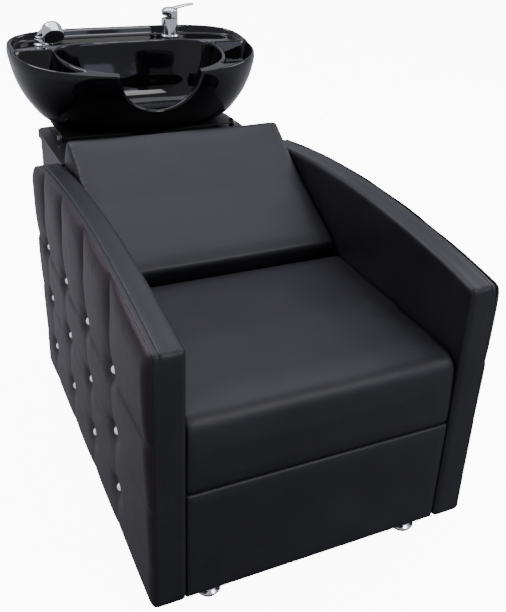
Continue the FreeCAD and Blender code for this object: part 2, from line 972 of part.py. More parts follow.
def basin_carrier():
    """The plate that the basin stands on, with two ears turned down to the pivot bolts."""
    half = carrier_ear_across() + ear
    plate = bracket_plate(carrier_bottom, half, carrier_hole_radius)
    radius = pivot_rise - 2 * ear_clearance
    knob = rod(at(carrier_ear_across(), pivot_back, pivot_height), radius, ear, RIGHT)
    web = block(carrier_ear_across(), half, pivot_back - radius, pivot_back + radius,
                pivot_height, carrier_top)
    right_ear = joined([knob, web])
    holes = [pin(place - UP * overrun, basin_bolt_radius + screw_clearance, 2 * overrun)
             for place in pad_places(carrier_bottom)]
    return cut_all(joined([plate, right_ear, mirrored(right_ear)]), holes + pivot_tools(pin_clearance))


def pivot_tools(clearance):
    inner = carrier_ear_across()
    length = ear_outer_half + soft_gap - inner
    right = rod(at(inner, pivot_back, pivot_height), pivot_bolt_radius + clearance, length, RIGHT)
    return [right, mirrored(right)]


def pivot_bolts():
    """Shoulder bolts, screwed into the carrier's ears and turning in the bracket's."""
    shank = pivot_tools(0)[0]
    head_start = at(ear_outer_half + soft_gap, pivot_back, pivot_height)
    head = hexagon(head_start, pivot_head_radius, pivot_head, RIGHT)
    bolt = joined([shank, head])
    return apart([bolt, mirrored(bolt)])


def basin_pads():
    radius = basin_bolt_radius + screw_clearance
    places = pad_places(carrier_top)
    return apart([rod(place, pad_radius, pad).cut(pin(place, radius, pad)) for place in places])


def basin_bolts():
    bolts = []
    for place in pad_places(carrier_bottom):
        head = hexagon(place - UP * basin_bolt_head, basin_bolt_head_radius, basin_bolt_head)
        shank = pin(place, basin_bolt_radius, sheet + pad + basin_bolt_reach)
        bolts.append(joined([head, shank]))
    return apart(bolts)


def bracket_screw_places():
    backs = (bracket_screw_front_back, bracket_screw_rear_back)
    return [at(hand * bracket_screw_across, back, plate_top) for hand in (-1, 1) for back in backs]


def bracket_screw_tools(clearance):
    radius = bracket_screw_radius + clearance
    length = bracket_screw_reach + sheet + clearance
    return [pin(place - UP * length, radius, length) for place in bracket_screw_places()]


def bracket_screws():
    screws = []
    for place, shank in zip(bracket_screw_places(), bracket_screw_tools(0)):
        screws.append(joined([pin(place, bracket_screw_head_radius, bracket_screw_head), shank]))
    return apart(screws)


# Waste
def drain_fitting():
    centre = at(0, drain_back, 0)
    top = bowl_floor_height + drain_gasket + drain_flange
    inner = drain_radius - drain_wall
    lip = bowl_floor_height + drain_gasket
    return turned(centre, [(inner, drain_tube_height), (drain_radius, drain_tube_height),
                           (drain_radius, lip), (drain_flange_radius, lip),
                           (drain_flange_radius - drain_flange, top),
                           (strainer_flange_radius, top), (inner, lip)])


def drain_gasket_ring():
    return tube(at(0, drain_back, bowl_floor_height), drain_flange_radius - drain_flange,
                drain_radius + screw_clearance, drain_gasket)


def drain_nut_ring():
    centre = at(0, drain_back, basin_foot_height - drain_washer - drain_nut)
    nut = hexagon(centre, drain_nut_radius, drain_nut)
    return nut.cut(rod(centre, drain_radius + screw_clearance, drain_nut))


def drain_washer_ring():
    return tube(at(0, drain_back, basin_foot_height - drain_washer), drain_nut_radius,
                drain_radius + screw_clearance, drain_washer)


def waste_spigot():
    """The reducing tailpiece that the waste hose is pushed on."""
    centre = at(0, drain_back, 0)
    collar_top = drain_tube_height
    collar_low = collar_top - spigot_collar
    foot_end = collar_low - spigot_length
    inner = spigot_radius - spigot_wall
    return turned(centre, [(inner, foot_end), (spigot_radius, foot_end), (spigot_radius, collar_low),
                           (drain_radius, collar_low + spigot_collar / 2), (drain_radius, collar_top),
                           (inner, collar_top)])


def hair_strainer():
    """A lift-out cup with a ring of holes and a centre knob."""
    centre = at(0, drain_back, 0)
    rim = bowl_floor_height + drain_gasket + drain_flange + soft_gap
    floor = rim - strainer_depth
    cup = turned(centre, [(0, floor), (strainer_radius, floor), (strainer_radius, rim),
                          (strainer_flange_radius, rim), (strainer_flange_radius, rim + strainer_wall),
                          (strainer_radius - strainer_wall, rim + strainer_wall),
                          (strainer_radius - strainer_wall, floor + strainer_wall),
                          (strainer_knob_radius, floor + strainer_wall),
                          (strainer_knob_radius, floor + strainer_wall + strainer_knob),
                          (0, floor + strainer_wall + strainer_knob)])
    ring = (strainer_radius + strainer_knob_radius) / 2
    for hole in range(strainer_holes):
        turn = 2 * math.pi * hole / strainer_holes
        place = centre + Vector(ring * math.cos(turn), ring * math.sin(turn), floor - overrun)
        cup = cup.cut(pin(place, strainer_hole_radius, 2 * overrun))
    return cup


# Mixer tap
def tap_centre(height):
    return at(tap_across, tap_back, height)


def tap_body():
    low = deck_height + tap_gasket
    knee = low + tap_flange
    cartridge_floor = body_top - cartridge_depth
    body = turned(tap_centre(0), [(0, low), (tap_flange_radius, low),
                                  (tap_flange_radius, low + tap_flange / 2), (tap_radius, knee),
                                  (tap_radius, body_top), (0, body_top)])
    shank = rod(tap_centre(low - shank_length), shank_radius, shank_length)
    bore = rod(tap_centre(cartridge_floor), cartridge_radius + screw_clearance, cartridge_depth + overrun)
    return joined([body, shank]).cut(bore)


def tap_gasket_ring():
    return tube(tap_centre(deck_height), tap_flange_radius, shank_radius + screw_clearance, tap_gasket)


def tap_cartridge():
    block_shape = rod(tap_centre(body_top - cartridge_depth), cartridge_radius, cartridge_depth - cap_gap)
    socket = rod(tap_centre(lift_height - stem_length + stem_seat), stem_radius + pin_clearance, overrun)
    return block_shape.cut(socket)


def tap_stem():
    low = lift_height - stem_length + stem_seat
    stem = rod(tap_centre(low), stem_radius, stem_length)
    return stem.cut(lever_pin_rod(pin_clearance))


def lever_pin_rod(clearance):
    radius = lever_pin_radius + clearance
    start = tap_centre(lift_height) - BACK * (tap_radius - sheet)
    return rod(start, radius, 2 * (tap_radius - sheet), BACK)


def tap_lever():
    """The cap and its curved lever, which points to the right."""
    low = body_top + cap_gap
    high = low + cap_height
    cap = turned(tap_centre(0), [(0, low), (tap_radius, low), (tap_radius, high - cap_dome),
                                 (tap_radius - cap_dome, high), (0, high)])
    cavity = rod(tap_centre(low - overrun), cap_cavity_radius, overrun + cap_cavity_height)

    def side(across, up):
        return at(tap_across + across, tap_back - overrun, up)

    heel = -tap_radius - cap_gap
    under = low - overrun
    relief = polygon([side(0, low), side(heel, low + cap_relief), side(heel, under), side(0, under)],
                     BACK * (2 * overrun))
    middle = (tap_radius / 2 + lever_reach) / 2

    def blade_point(across, up):
        return at(tap_across + across, tap_back - lever_width / 2, up)

    root = high - cap_dome
    tip = root + lever_tip_rise
    bend = root + (tip - root) * lever_bend_share
    blade = drawn([
        arc(blade_point(0, root), blade_point(middle, bend), blade_point(lever_reach, tip)),
        line(blade_point(lever_reach, tip), blade_point(lever_reach, tip - lever_thickness)),
        arc(blade_point(lever_reach, tip - lever_thickness), blade_point(middle, bend - lever_thickness),
            blade_point(0, root - lever_thickness)),
        line(blade_point(0, root - lever_thickness), blade_point(0, root)),
    ], BACK * lever_width)
    return joined([cap, blade]).cut(cavity).cut(relief).cut(lever_pin_rod(0))


def tap_nut_ring():
    centre = tap_centre(deck_underside - tap_nut)
    nut = hexagon(centre, tap_nut_radius, tap_nut)
    return nut.cut(rod(centre, shank_radius + screw_clearance, tap_nut))


def tap_inlets():
    """Hot and cold inlets and the mixed outlet, under the shank."""
    low = deck_height + tap_gasket - shank_length - inlet_length
    nipples = []
    for turn in (90, 210, 330):
        lean = math.radians(turn)
        spot = Vector(inlet_spread * math.cos(lean), inlet_spread * math.sin(lean), 0)
        nipples.append(rod(tap_centre(low) + spot, inlet_radius, inlet_length))
    return apart(nipples)


# Hand shower
def shower_centre(height):
    return at(shower_across, shower_back, height)


def shower_holder():
    outer = holder_radius
    bore = grip_radius + pin_clearance
    shank = holder_radius - sheet
    top = deck_height + holder_height
    foot = deck_height - holder_reach
    return turned(shower_centre(0), [(bore, foot), (shank, foot),
                                     (shank, deck_height), (holder_flange_radius, deck_height),
                                     (holder_flange_radius, deck_height + holder_flange),
                                     (outer, deck_height + 2 * holder_flange), (outer, top), (bore, top)])


def shower_holder_nut():
    centre = shower_centre(deck_underside - holder_nut)
    nut = hexagon(centre, holder_nut_radius, holder_nut)
    return nut.cut(rod(centre, holder_radius - sheet + screw_clearance, holder_nut))


def head_axis():
    """The way the spray leaves the head: forward, downward and a little inward."""
    dip, turn = math.radians(head_dip), math.radians(head_turn)
    return Vector(math.cos(dip) * math.sin(turn), -math.cos(dip) * math.cos(turn), -math.sin(dip))


def head_back_centre():
    top = deck_height + holder_height + soft_gap + grip_shoulder
    centre = shower_centre(top + head_rise) + Vector(head_sideways, -head_forward, 0)
    return centre - head_axis() * (head_length / 2)


def shower_handle():
    """The hose thread and grip in the holder, the bent neck and the chrome head in one piece."""
    shoulder_low = deck_height + holder_height + soft_gap
    grip_low = shoulder_low - grip_length
    thread = rod(shower_centre(grip_low - hose_thread_length), hose_thread_radius, hose_thread_length)
    grip = rod(shower_centre(grip_low), grip_radius, grip_length)
    shoulder = rod(shower_centre(shoulder_low), grip_shoulder_radius, grip_shoulder)
    elbow = shower_centre(shoulder_low + grip_shoulder + head_rise / 2)
    riser = rod(shower_centre(shoulder_low), neck_radius, grip_shoulder + head_rise / 2)
    knuckle = Part.makeSphere(neck_radius, elbow)
    axis = head_axis()
    back_centre = head_back_centre()
    target = back_centre + axis * head_taper
    neck = rod(elbow, neck_radius, (target - elbow).Length, target - elbow)
    taper = Part.makeCone(head_back_radius, head_radius, head_taper, back_centre, axis)
    drum = rod(back_centre + axis * head_taper, head_radius, head_length - head_taper, axis)
    recess = rod(back_centre + axis * (head_length - nozzle_plate), nozzle_plate_radius + screw_clearance,
                 nozzle_plate + overrun, axis)
    return joined([thread, grip, shoulder, riser, knuckle, neck, taper, drum]).cut(recess)


def nozzle_face():
    axis = head_axis()
    plate_start = head_back_centre() + axis * (head_length - nozzle_plate)
    solids = [rod(plate_start, nozzle_plate_radius, nozzle_plate, axis)]
    sideways = axis.cross(UP).normalize()
    upways = sideways.cross(axis).normalize()
    front = plate_start + axis * nozzle_plate
    for ring in range(1, nozzle_rings + 1):
        radius = (nozzle_plate_radius - nozzle_margin) * ring / nozzle_rings
        count = nozzles_to_ring * ring
        for nozzle in range(count):
            turn = 2 * math.pi * nozzle / count
            spot = front + sideways * (radius * math.cos(turn)) + upways * (radius * math.sin(turn))
            solids.append(hexagon(spot, nozzle_radius, nozzle_height, axis))
    return joined(solids)


# Every piece, from the floor up
core = arm_core()
bolt_holes = batten_bolt_tools(screw_clearance)
save_pair("arm_core", cut_all(core, bolt_holes))
save_pair("arm_cover", cut_all(arm_cover(core), bolt_holes))
save_pair("tufted_panel", tufted_panel())
save_pair("crystal_buttons", crystal_buttons())
save("arm_bolts", arm_bolts())
for place_name, (foot_x, foot_back) in foot_places().items():
    save(place_name + "_foot", foot(foot_x, foot_back))
save("foot_pads", foot_pads())
save("front_rail", rail(inner_half, seat_front + panel_padding, seat_front + panel_padding + rail_depth))
save("rear_rail", rail(inner_half - board, cabinet_rear - rail_depth, cabinet_rear))
save("bottom_board", bottom_board())
save("divider_board", divider())
save_pair("seat_batten", seat_batten())
save("seat_board", seat_board())
save("seat_cushion", seat_cushion())
save("front_panel_board", front_panel_board())
save("front_panel_cover", front_panel_cover())
save_pair("back_batten", back_batten())
save("back_board", back_support())
save("back_cushion", back_cushion())
save_pair("cabinet_side", cut_all(cabinet_side(), access_tools()))
save("cabinet_front_board", cabinet_front_board())
save("cabinet_lid", cabinet_lid())
save("access_panel", access_panel())
save("access_screws", access_screws())
save("bracket_base", bracket_base())
save("bracket_screws", bracket_screws())
save("pivot_bolts", pivot_bolts())
save("basin_carrier", basin_carrier())
save("basin_pads", basin_pads())
save("basin_bolts", basin_bolts())
basin_bowl, basin_skirt = basin_castings()
save("basin_bowl", basin_bowl)
save("basin_skirt", basin_skirt)
save("drain_fitting", drain_fitting())
save("drain_gasket", drain_gasket_ring())
save("drain_washer", drain_washer_ring())
save("drain_nut", drain_nut_ring())
save("waste_spigot", waste_spigot())
save("hair_strainer", hair_strainer())
save("tap_gasket", tap_gasket_ring())
save("tap_body", tap_body())
save("tap_nut", tap_nut_ring())
save("tap_cartridge", tap_cartridge())
save("tap_inlets", tap_inlets())
save("tap_stem", tap_stem())
save("lever_pin", lever_pin_rod(0))
save("tap_lever", tap_lever())
save("shower_holder", shower_holder())
save("shower_holder_nut", shower_holder_nut())
save("shower_handle", shower_handle())
save("nozzle_face", nozzle_face())
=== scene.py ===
import math

import bmesh
import bpy
import numpy as np
from mathutils import Matrix, Vector


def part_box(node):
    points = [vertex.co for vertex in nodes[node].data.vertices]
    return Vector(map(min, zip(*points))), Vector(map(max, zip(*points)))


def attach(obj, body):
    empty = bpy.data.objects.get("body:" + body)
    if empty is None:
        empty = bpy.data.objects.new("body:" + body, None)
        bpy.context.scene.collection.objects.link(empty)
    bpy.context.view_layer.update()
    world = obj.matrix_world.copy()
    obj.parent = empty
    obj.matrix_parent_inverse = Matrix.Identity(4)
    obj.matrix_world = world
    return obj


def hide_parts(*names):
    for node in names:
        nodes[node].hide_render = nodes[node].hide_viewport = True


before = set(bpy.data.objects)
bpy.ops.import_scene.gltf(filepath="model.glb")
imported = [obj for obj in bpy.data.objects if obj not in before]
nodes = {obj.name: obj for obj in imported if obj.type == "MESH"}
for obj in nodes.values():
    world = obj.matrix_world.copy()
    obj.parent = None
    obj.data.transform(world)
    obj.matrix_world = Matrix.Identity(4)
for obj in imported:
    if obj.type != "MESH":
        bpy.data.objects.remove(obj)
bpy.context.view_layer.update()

# Places taken from the model's parts, in metres: back is counted from the front plane of the arms
ARM_LOW, ARM_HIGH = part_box("right_arm_cover")
FRONT = ARM_LOW.y
ARM_INNER = ARM_LOW.x
ARM_LENGTH = ARM_HIGH.y - FRONT
ARM_FOOT = ARM_LOW.z
ARM_CROWN = ARM_HIGH.z
SEAM_OUT = 0.0090
SEAM = ARM_HIGH.x + SEAM_OUT
SIDES = {1: "right", -1: "left"}
TINY = 1e-6


def at(across, back, up):
    return Vector((across, FRONT + back, up))


def middle_of(low, high):
    """The place on the floor midway between two corners."""
    return Vector(((low.x + high.x) / 2, (low.y + high.y) / 2, 0))


# Curves and height fields
def curve_through(stations, values, wanted):
    """A smooth curve through values at stations, read at the wanted stations."""
    x = np.asarray(stations, float)
    y = np.asarray(values, float)
    slope = np.gradient(y, x)
    t = np.clip(np.asarray(wanted, float), x[0], x[-1])
    i = np.clip(np.searchsorted(x, t, side="right") - 1, 0, len(x) - 2)
    h = x[i + 1] - x[i]
    s = (t - x[i]) / h
    return ((1 + 2 * s) * (1 - s) ** 2 * y[i] + s * (1 - s) ** 2 * h * slope[i]
            + s * s * (3 - 2 * s) * y[i + 1] + s * s * (s - 1) * h * slope[i + 1])


def bent(start, corner, end, t):
    """A place on the curve that leaves start towards the corner and arrives at the end."""
    return start * (1 - t) ** 2 + corner * 2 * t * (1 - t) + end * t ** 2


def soft_least(layers, blend):
    """The least of several height fields, with every meeting line rounded off."""
    low = np.min(layers, axis=0)
    return low - blend * np.log(sum(np.exp(-(layer - low) / blend) for layer in layers))


def soft_most(layers, blend):
    return -soft_least([-layer for layer in layers], blend)


def ramp(value, start, end):
    t = np.clip((value - start) / (end - start), 0, 1)
    return t * t * (3 - 2 * t)


def halved(low, high, rounds, still_inside):
    """Where still_inside ends between low and high, found by halving."""
    for _ in range(rounds):
        middle = (low + high) / 2
        inside = still_inside(middle)
        low, high = np.where(inside, middle, low), np.where(inside, high, middle)
    return (low + high) / 2


def dense_steps(start, end, marks, fine, coarse, reach):
    """Steps from start to end, fine near the marks and coarse from their reach on."""
    steps = [start]
    while steps[-1] < end - fine:
        gap = min(abs(steps[-1] - mark) for mark in marks)
        steps.append(steps[-1] + fine + (coarse - fine) * min(1.0, gap / reach))
    steps[-1] = end
    return np.array(steps)


def slow_waves(a, b, c, size):
    """Faint slow unevenness of stretched upholstery, from a few crossed waves."""
    waves = (np.sin(a * 23.0 + 1.3 * np.sin(b * 17.0)) + np.sin(b * 31.0 + 2.1 * np.sin(a * 13.0) + 0.7)
             + 0.6 * np.sin((a + b) * 47.0 + c * 19.0 + 1.9))
    return size * waves / 2.6


# Meshes
def lattice(rows, columns, wrap_rows=False, wrap_columns=False):
    """Quads over a rows by columns lattice of points."""
    r = np.arange(rows if wrap_rows else rows - 1)[:, None]
    c = np.arange(columns if wrap_columns else columns - 1)[None, :]
    r2 = (r + 1) % rows
    c2 = (c + 1) % columns
    quads = np.stack([r * columns + c, r * columns + c2, r2 * columns + c2, r2 * columns + c], axis=-1)
    return [tuple(q) for q in quads.reshape(-1, 4).tolist()]


def border_of(rows, columns):
    """Indices once round the edge of a lattice."""
    spots = [(0, c) for c in range(columns)] + [(r, columns - 1) for r in range(1, rows)]
    spots += [(rows - 1, c) for c in range(columns - 2, -1, -1)] + [(r, 0) for r in range(rows - 2, 0, -1)]
    return [r * columns + c for r, c in spots]


def close_behind(points, faces, rim, rings):
    """Adds rings of points behind a rim, joins them to it in turn and closes the last one flat."""
    for ring in rings:
        behind = list(range(len(points), len(points) + len(rim)))
        points = np.vstack([points, ring])
        faces += zip(rim, rim[1:] + rim[:1], behind[1:] + behind[:1], behind)
        rim = behind
    faces.append(tuple(rim))
    return points


def linked(name, data):
    """A new object of the scene that shows the data."""
    piece = bpy.data.objects.new(name, data)
    bpy.context.scene.collection.objects.link(piece)
    return piece


def mesh_piece(name, points, faces, material, smooth_angle=40.0):
    """A mesh object with its faces turned outward and smooth up to an angle."""
    mesh = bpy.data.meshes.new(name)
    mesh.from_pydata([tuple(p) for p in points], [], faces)
    turn_outward(mesh)
    mesh.materials.append(material)
    mesh.shade_smooth()
    mesh.set_sharp_from_angle(angle=math.radians(smooth_angle))
    return linked(name, mesh)


def turn_outward(mesh):
    shape = bmesh.new()
    shape.from_mesh(mesh)
    bmesh.ops.recalc_face_normals(shape, faces=shape.faces)
    if shape.calc_volume(signed=True) < 0:
        bmesh.ops.reverse_faces(shape, faces=shape.faces)
    shape.to_mesh(mesh)
    shape.free()
    mesh.update()


def place_piece(piece, body, slot, *replaced):
    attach(piece, body)
    if replaced:
        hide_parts(*replaced)
    return piece


def rounded(outline, steps=5, closed=False):
    """An outline of (a, b, radius) corners with each corner turned into a short curve."""
    points = []
    count = len(outline)
    for i, (a, b, radius) in enumerate(outline):
        corner = Vector((a, b))
        if radius <= 0 or (not closed and i in (0, count - 1)):
            points.append(corner)
            continue
        before = Vector(outline[(i - 1) % count][:2]) - corner
        after = Vector(outline[(i + 1) % count][:2]) - corner
        bend = before.angle(after)
        reach = min(radius / max(math.tan(bend / 2), TINY), 0.49 * before.length, 0.49 * after.length)
        start, end = corner + before.normalized() * reach, corner + after.normalized() * reach
        points += [bent(start, corner, end, step / steps) for step in range(steps + 1)]
    return points


def on_circle(radius, angle, height=0.0):
    return Vector((radius * math.cos(angle), radius * math.sin(angle), height))


def lathe(name, outline, centre, material, axis=(0, 0, 1), segments=64, closed=False):
    """A body of revolution from (radius, height, corner radius) points about an axis through centre."""
    turn = Vector(axis).to_track_quat("Z", "Y")
    points, rings, faces = [], [], []
    for radius, height in rounded(outline, closed=closed):
        count = 1 if radius < TINY else segments
        rings.append(range(len(points), len(points) + count))
        for step in range(count):
            points.append(Vector(centre) + turn @ on_circle(radius, 2 * math.pi * step / segments, height))
    pairs = list(zip(rings, rings[1:])) + ([(rings[-1], rings[0])] if closed else [])
    for low, high in pairs:
        for step in range(segments):
            after = (step + 1) % segments
            if len(low) == 1 and len(high) > 1:
                faces.append((low[0], high[step], high[after]))
            elif len(high) == 1 and len(low) > 1:
                faces.append((low[step], high[0], low[after]))
            elif len(low) > 1:
                faces.append((low[step], low[after], high[after], high[step]))
    return mesh_piece(name, points, faces, material)


def swept(name, stations, material, sides, power):
    """A tapering bar: each station is (centre, sideways, upways), the last two as half sizes."""
    points = []
    for centre, sideways, upways in stations:
        for step in range(sides):
            angle = 2 * math.pi * step / sides
            c, s = math.cos(angle), math.sin(angle)
            a = math.copysign(abs(c) ** (2 / power), c)
            b = math.copysign(abs(s) ** (2 / power), s)
            points.append(Vector(centre) + Vector(sideways) * a + Vector(upways) * b)
    faces = lattice(len(stations), sides, wrap_columns=True)
    faces.append(tuple(range(sides)))
    faces.append(tuple(range(len(points) - sides, len(points))))
    return mesh_piece(name, points, faces, material)


def made_one(name, pieces):
    """Several pieces put into the first one's object, under a new name."""
    first = pieces[0]
    with bpy.context.temp_override(active_object=first, selected_editable_objects=pieces,
                                   selected_objects=pieces, object=first):
        bpy.ops.object.join()
    first.name = name
    return first


def apply_modifiers(piece):
    evaluated = piece.evaluated_get(bpy.context.evaluated_depsgraph_get())
    mesh = bpy.data.meshes.new_from_object(evaluated)
    old = piece.data
    piece.modifiers.clear()
    piece.data = mesh
    for material in old.materials:
        if not len(mesh.materials):
            mesh.materials.append(material)
    bpy.data.meshes.remove(old)


def corner_points(piece):
    points = np.empty(len(piece.data.vertices) * 3)
    piece.data.vertices.foreach_get("co", points)
    return points.reshape(-1, 3)


def set_points(piece, points):
    piece.data.vertices.foreach_set("co", points.ravel())
    piece.data.update()


def evened(mesh, values, rounds, factor=0.5):
    """Values at a mesh's points, each moved towards its neighbours' mean."""
    edges = np.empty(len(mesh.edges) * 2, dtype=np.int64)
    mesh.edges.foreach_get("vertices", edges)
    a, b = edges.reshape(-1, 2).T
    count = np.bincount(np.concatenate([a, b]), minlength=len(values))[:, None]
    for _ in range(rounds):
        total = np.zeros_like(values)
        for k in range(3):
            total[:, k] = np.bincount(a, values[b, k], len(values))
            total[:, k] += np.bincount(b, values[a, k], len(values))
        values = values + (total / count - values) * factor
    return values


def relax(piece, rounds, factor=0.5):
    set_points(piece, evened(piece.data, corner_points(piece), rounds, factor))


# Materials: every shade is a dark and a light colour, every gloss a low and a high roughness
def add(tree, kind, **settings):
    """A new node, with each setting given to its input or, if it has none of that name, to the node."""
    node = tree.nodes.new(kind)
    for key, value in settings.items():
        if key in node.inputs:
            node.inputs[key].default_value = value
        else:
            setattr(node, key, value)
    return node


def put(shader, values):
    for key, value in values.items():
        shader.inputs[key].default_value = value


def object_place(tree, stretch=(1, 1, 1)):
    """The point in the piece's own metres, stretched along its axes."""
    where = add(tree, "ShaderNodeTexCoord")
    scale = add(tree, "ShaderNodeMapping", Scale=stretch)
    tree.links.new(where.outputs["Object"], scale.inputs["Vector"])
    return scale.outputs["Vector"]


def noise_of(tree, place, scale, detail):
    node = add(tree, "ShaderNodeTexNoise", Scale=scale, Detail=detail, Roughness=0.55)
    tree.links.new(place, node.inputs["Vector"])
    return node.outputs["Fac"]


def tone(tree, factor, dark, light, low=0.3, high=0.7):
    """A colour that goes from dark to light with the factor."""
    node = add(tree, "ShaderNodeValToRGB")
    for element, place, colour in zip(node.color_ramp.elements, (low, high), (dark, light)):
        element.position = place
        element.color = (*colour, 1)
    tree.links.new(factor, node.inputs["Fac"])
    return node.outputs["Color"]


def mapped(tree, value, start, end, low=0.0, high=1.0):
    """A number that goes from low to high while the value goes from start to end."""
    node = add(tree, "ShaderNodeMapRange")
    put(node, {"From Min": start, "From Max": end, "To Min": low, "To Max": high})
    tree.links.new(value, node.inputs["Value"])
    return node.outputs["Result"]


def bumped(tree, shader, heights, distance):
    """Bump from one or more (height, strength) pairs."""
    last = None
    for height, strength in heights:
        node = add(tree, "ShaderNodeBump", Strength=strength, Distance=distance)
        tree.links.new(height, node.inputs["Height"])
        if last is not None:
            tree.links.new(last, node.inputs["Normal"])
        last = node.outputs["Normal"]
    tree.links.new(last, shader.inputs["Normal"])


def new_material(name):
    material = bpy.data.materials.new(name)
    material.use_nodes = True
    return material, material.node_tree, material.node_tree.nodes["Principled BSDF"]


def drifting(name, dark, light, gloss, shade_noise, gloss_noise):
    """A material with faint changes of shade and gloss, each from a noise's scale and detail."""
    material, tree, shader = new_material(name)
    place = object_place(tree)
    shade = noise_of(tree, place, *shade_noise)
    tree.links.new(tone(tree, shade, dark, light), shader.inputs["Base Color"])
    spread = noise_of(tree, place, *gloss_noise)
    tree.links.new(mapped(tree, spread, 0.0, 1.0, *gloss), shader.inputs["Roughness"])
    return material, tree, shader, place


def leatherette(name, dark, light, tint=(1, 1, 1, 1)):
    """Coated upholstery fabric: fine pebbled grain and a satin gloss."""
    material, tree, shader, place = drifting(name, dark, light, SATIN, (7.0, 4.0), (28.0, 3.0))
    pebbles = add(tree, "ShaderNodeTexVoronoi", Scale=620.0, Randomness=1.0, feature="DISTANCE_TO_EDGE")
    tree.links.new(place, pebbles.inputs["Vector"])
    grain = mapped(tree, pebbles.outputs["Distance"], 0.0, 0.25)
    fine = noise_of(tree, place, 1500.0, 2.0)
    bumped(tree, shader, [(grain, 0.16), (fine, 0.08)], 0.0003)
    put(shader, {"Specular IOR Level": 0.30, "Specular Tint": tint})
    return material


def glaze(name):
    """Black ceramic glaze: a deep mirror gloss with a faint pull in its surface."""
    dark, light = (0.0015, 0.0015, 0.002), (0.003, 0.003, 0.004)
    material, tree, shader, place = drifting(name, dark, light, (0.035, 0.075), (4.0, 2.0), (55.0, 3.0))
    bumped(tree, shader, [(noise_of(tree, place, 22.0, 1.0), 0.10)], 0.0012)
    put(shader, {"Specular IOR Level": 0.38})
    return material


def metal(name, dark, light, gloss, brushed=0.0):
    """Metal, with fine drawn lines where it is brushed."""
    material, tree, shader, _ = drifting(name, dark, light, gloss, (18.0, 3.0), (60.0, 4.0))
    put(shader, {"Metallic": 1.0})
    if brushed:
        lines = noise_of(tree, object_place(tree, (1, 1, 40)), 90.0, 2.0)
        bumped(tree, shader, [(lines, brushed)], 0.0003)
    return material


def plain_coat(name, dark, light, gloss, grain_scale, grain_strength):
    """Rubber, plastic, paint or wrapped board: two close shades and a fine grain."""
    material, tree, shader, place = drifting(name, dark, light, gloss, (16.0, 4.0), (45.0, 3.0))
    bumped(tree, shader, [(noise_of(tree, place, grain_scale, 3.0), grain_strength)], 0.0004)
    return material


def wood(name, dark, light, stretch, rings):
    """Sawn timber or plywood: drawn-out grain with darker late wood."""
    material, tree, shader = new_material(name)
    place = object_place(tree, stretch)
    wave = add(tree, "ShaderNodeTexWave", Scale=rings, Distortion=6.0, Detail=3.0)
    put(wave, {"Detail Scale": 1.6})
    tree.links.new(place, wave.inputs["Vector"])
    tree.links.new(tone(tree, wave.outputs["Fac"], dark, light, 0.1, 0.9), shader.inputs["Base Color"])
    fibre = noise_of(tree, place, 160.0, 4.0)
    tree.links.new(mapped(tree, fibre, 0.0, 1.0, 0.55, 0.75), shader.inputs["Roughness"])
    bumped(tree, shader, [(fibre, 0.25)], 0.0006)
    return material


def crystal(name):
    """Foil-backed cut crystal: hard facets, with a faint painted glow that stands in for their glints."""
    dark, light = (0.80, 0.82, 0.86), (1.0, 1.0, 1.0)
    material, _, shader, _ = drifting(name, dark, light, (0.02, 0.08), (400.0, 1.0), (400.0, 1.0))
    # The emission is painted light: a faint glow that paints glints on the crystals.
    put(shader, {"Metallic": 0.15, "Emission Color": (1.0, 1.0, 1.0, 1), "Emission Strength": 0.28,
                 "Coat Weight": 1.0, "Coat Roughness": 0.02})
    return material


SATIN = (0.38, 0.48)
COVER = leatherette("black_leatherette", (0.0085, 0.0085, 0.0105), (0.0125, 0.0125, 0.0155))
TUFTED = leatherette("tufted_leatherette", (0.0080, 0.0060, 0.0072), (0.0120, 0.0092, 0.0108),
                     (1.0, 0.86, 0.93, 1))
GLAZE = glaze("black_glaze")
CHROME = metal("chromed_metal", (0.60, 0.61, 0.63), (0.74, 0.75, 0.77), (0.04, 0.11))
ZINC = metal("zinc_steel", (0.45, 0.45, 0.44), (0.62, 0.62, 0.60), (0.28, 0.42), 0.25)
BRASS = metal("brass_fittings", (0.55, 0.42, 0.20), (0.72, 0.58, 0.30), (0.22, 0.35), 0.15)
CRYSTAL = crystal("cut_crystal")
TIMBER = wood("frame_timber", (0.40, 0.27, 0.15), (0.62, 0.46, 0.29), (1, 0.12, 0.5), 30.0)
PLYWOOD = wood("plywood", (0.50, 0.37, 0.23), (0.70, 0.56, 0.38), (0.14, 1, 1), 22.0)
CABINET = plain_coat("cabinet_board", (0.0085, 0.0085, 0.0095), (0.0130, 0.0130, 0.0145), SATIN, 700.0, 0.16)
BLACK_STEEL = plain_coat("black_steel", (0.006, 0.006, 0.0065), (0.010, 0.010, 0.0105), (0.36, 0.46),
                         420.0, 0.12)
RUBBER = plain_coat("black_rubber", (0.010, 0.010, 0.010), (0.016, 0.016, 0.0155), (0.62, 0.78), 900.0, 0.22)
GREY_PLASTIC = plain_coat("grey_plastic", (0.20, 0.21, 0.22), (0.27, 0.28, 0.29), (0.40, 0.52), 500.0, 0.08)
NOZZLE_PLASTIC = plain_coat("nozzle_plastic", (0.012, 0.012, 0.014), (0.02, 0.02, 0.023), (0.30, 0.40),
                            900.0, 0.10)

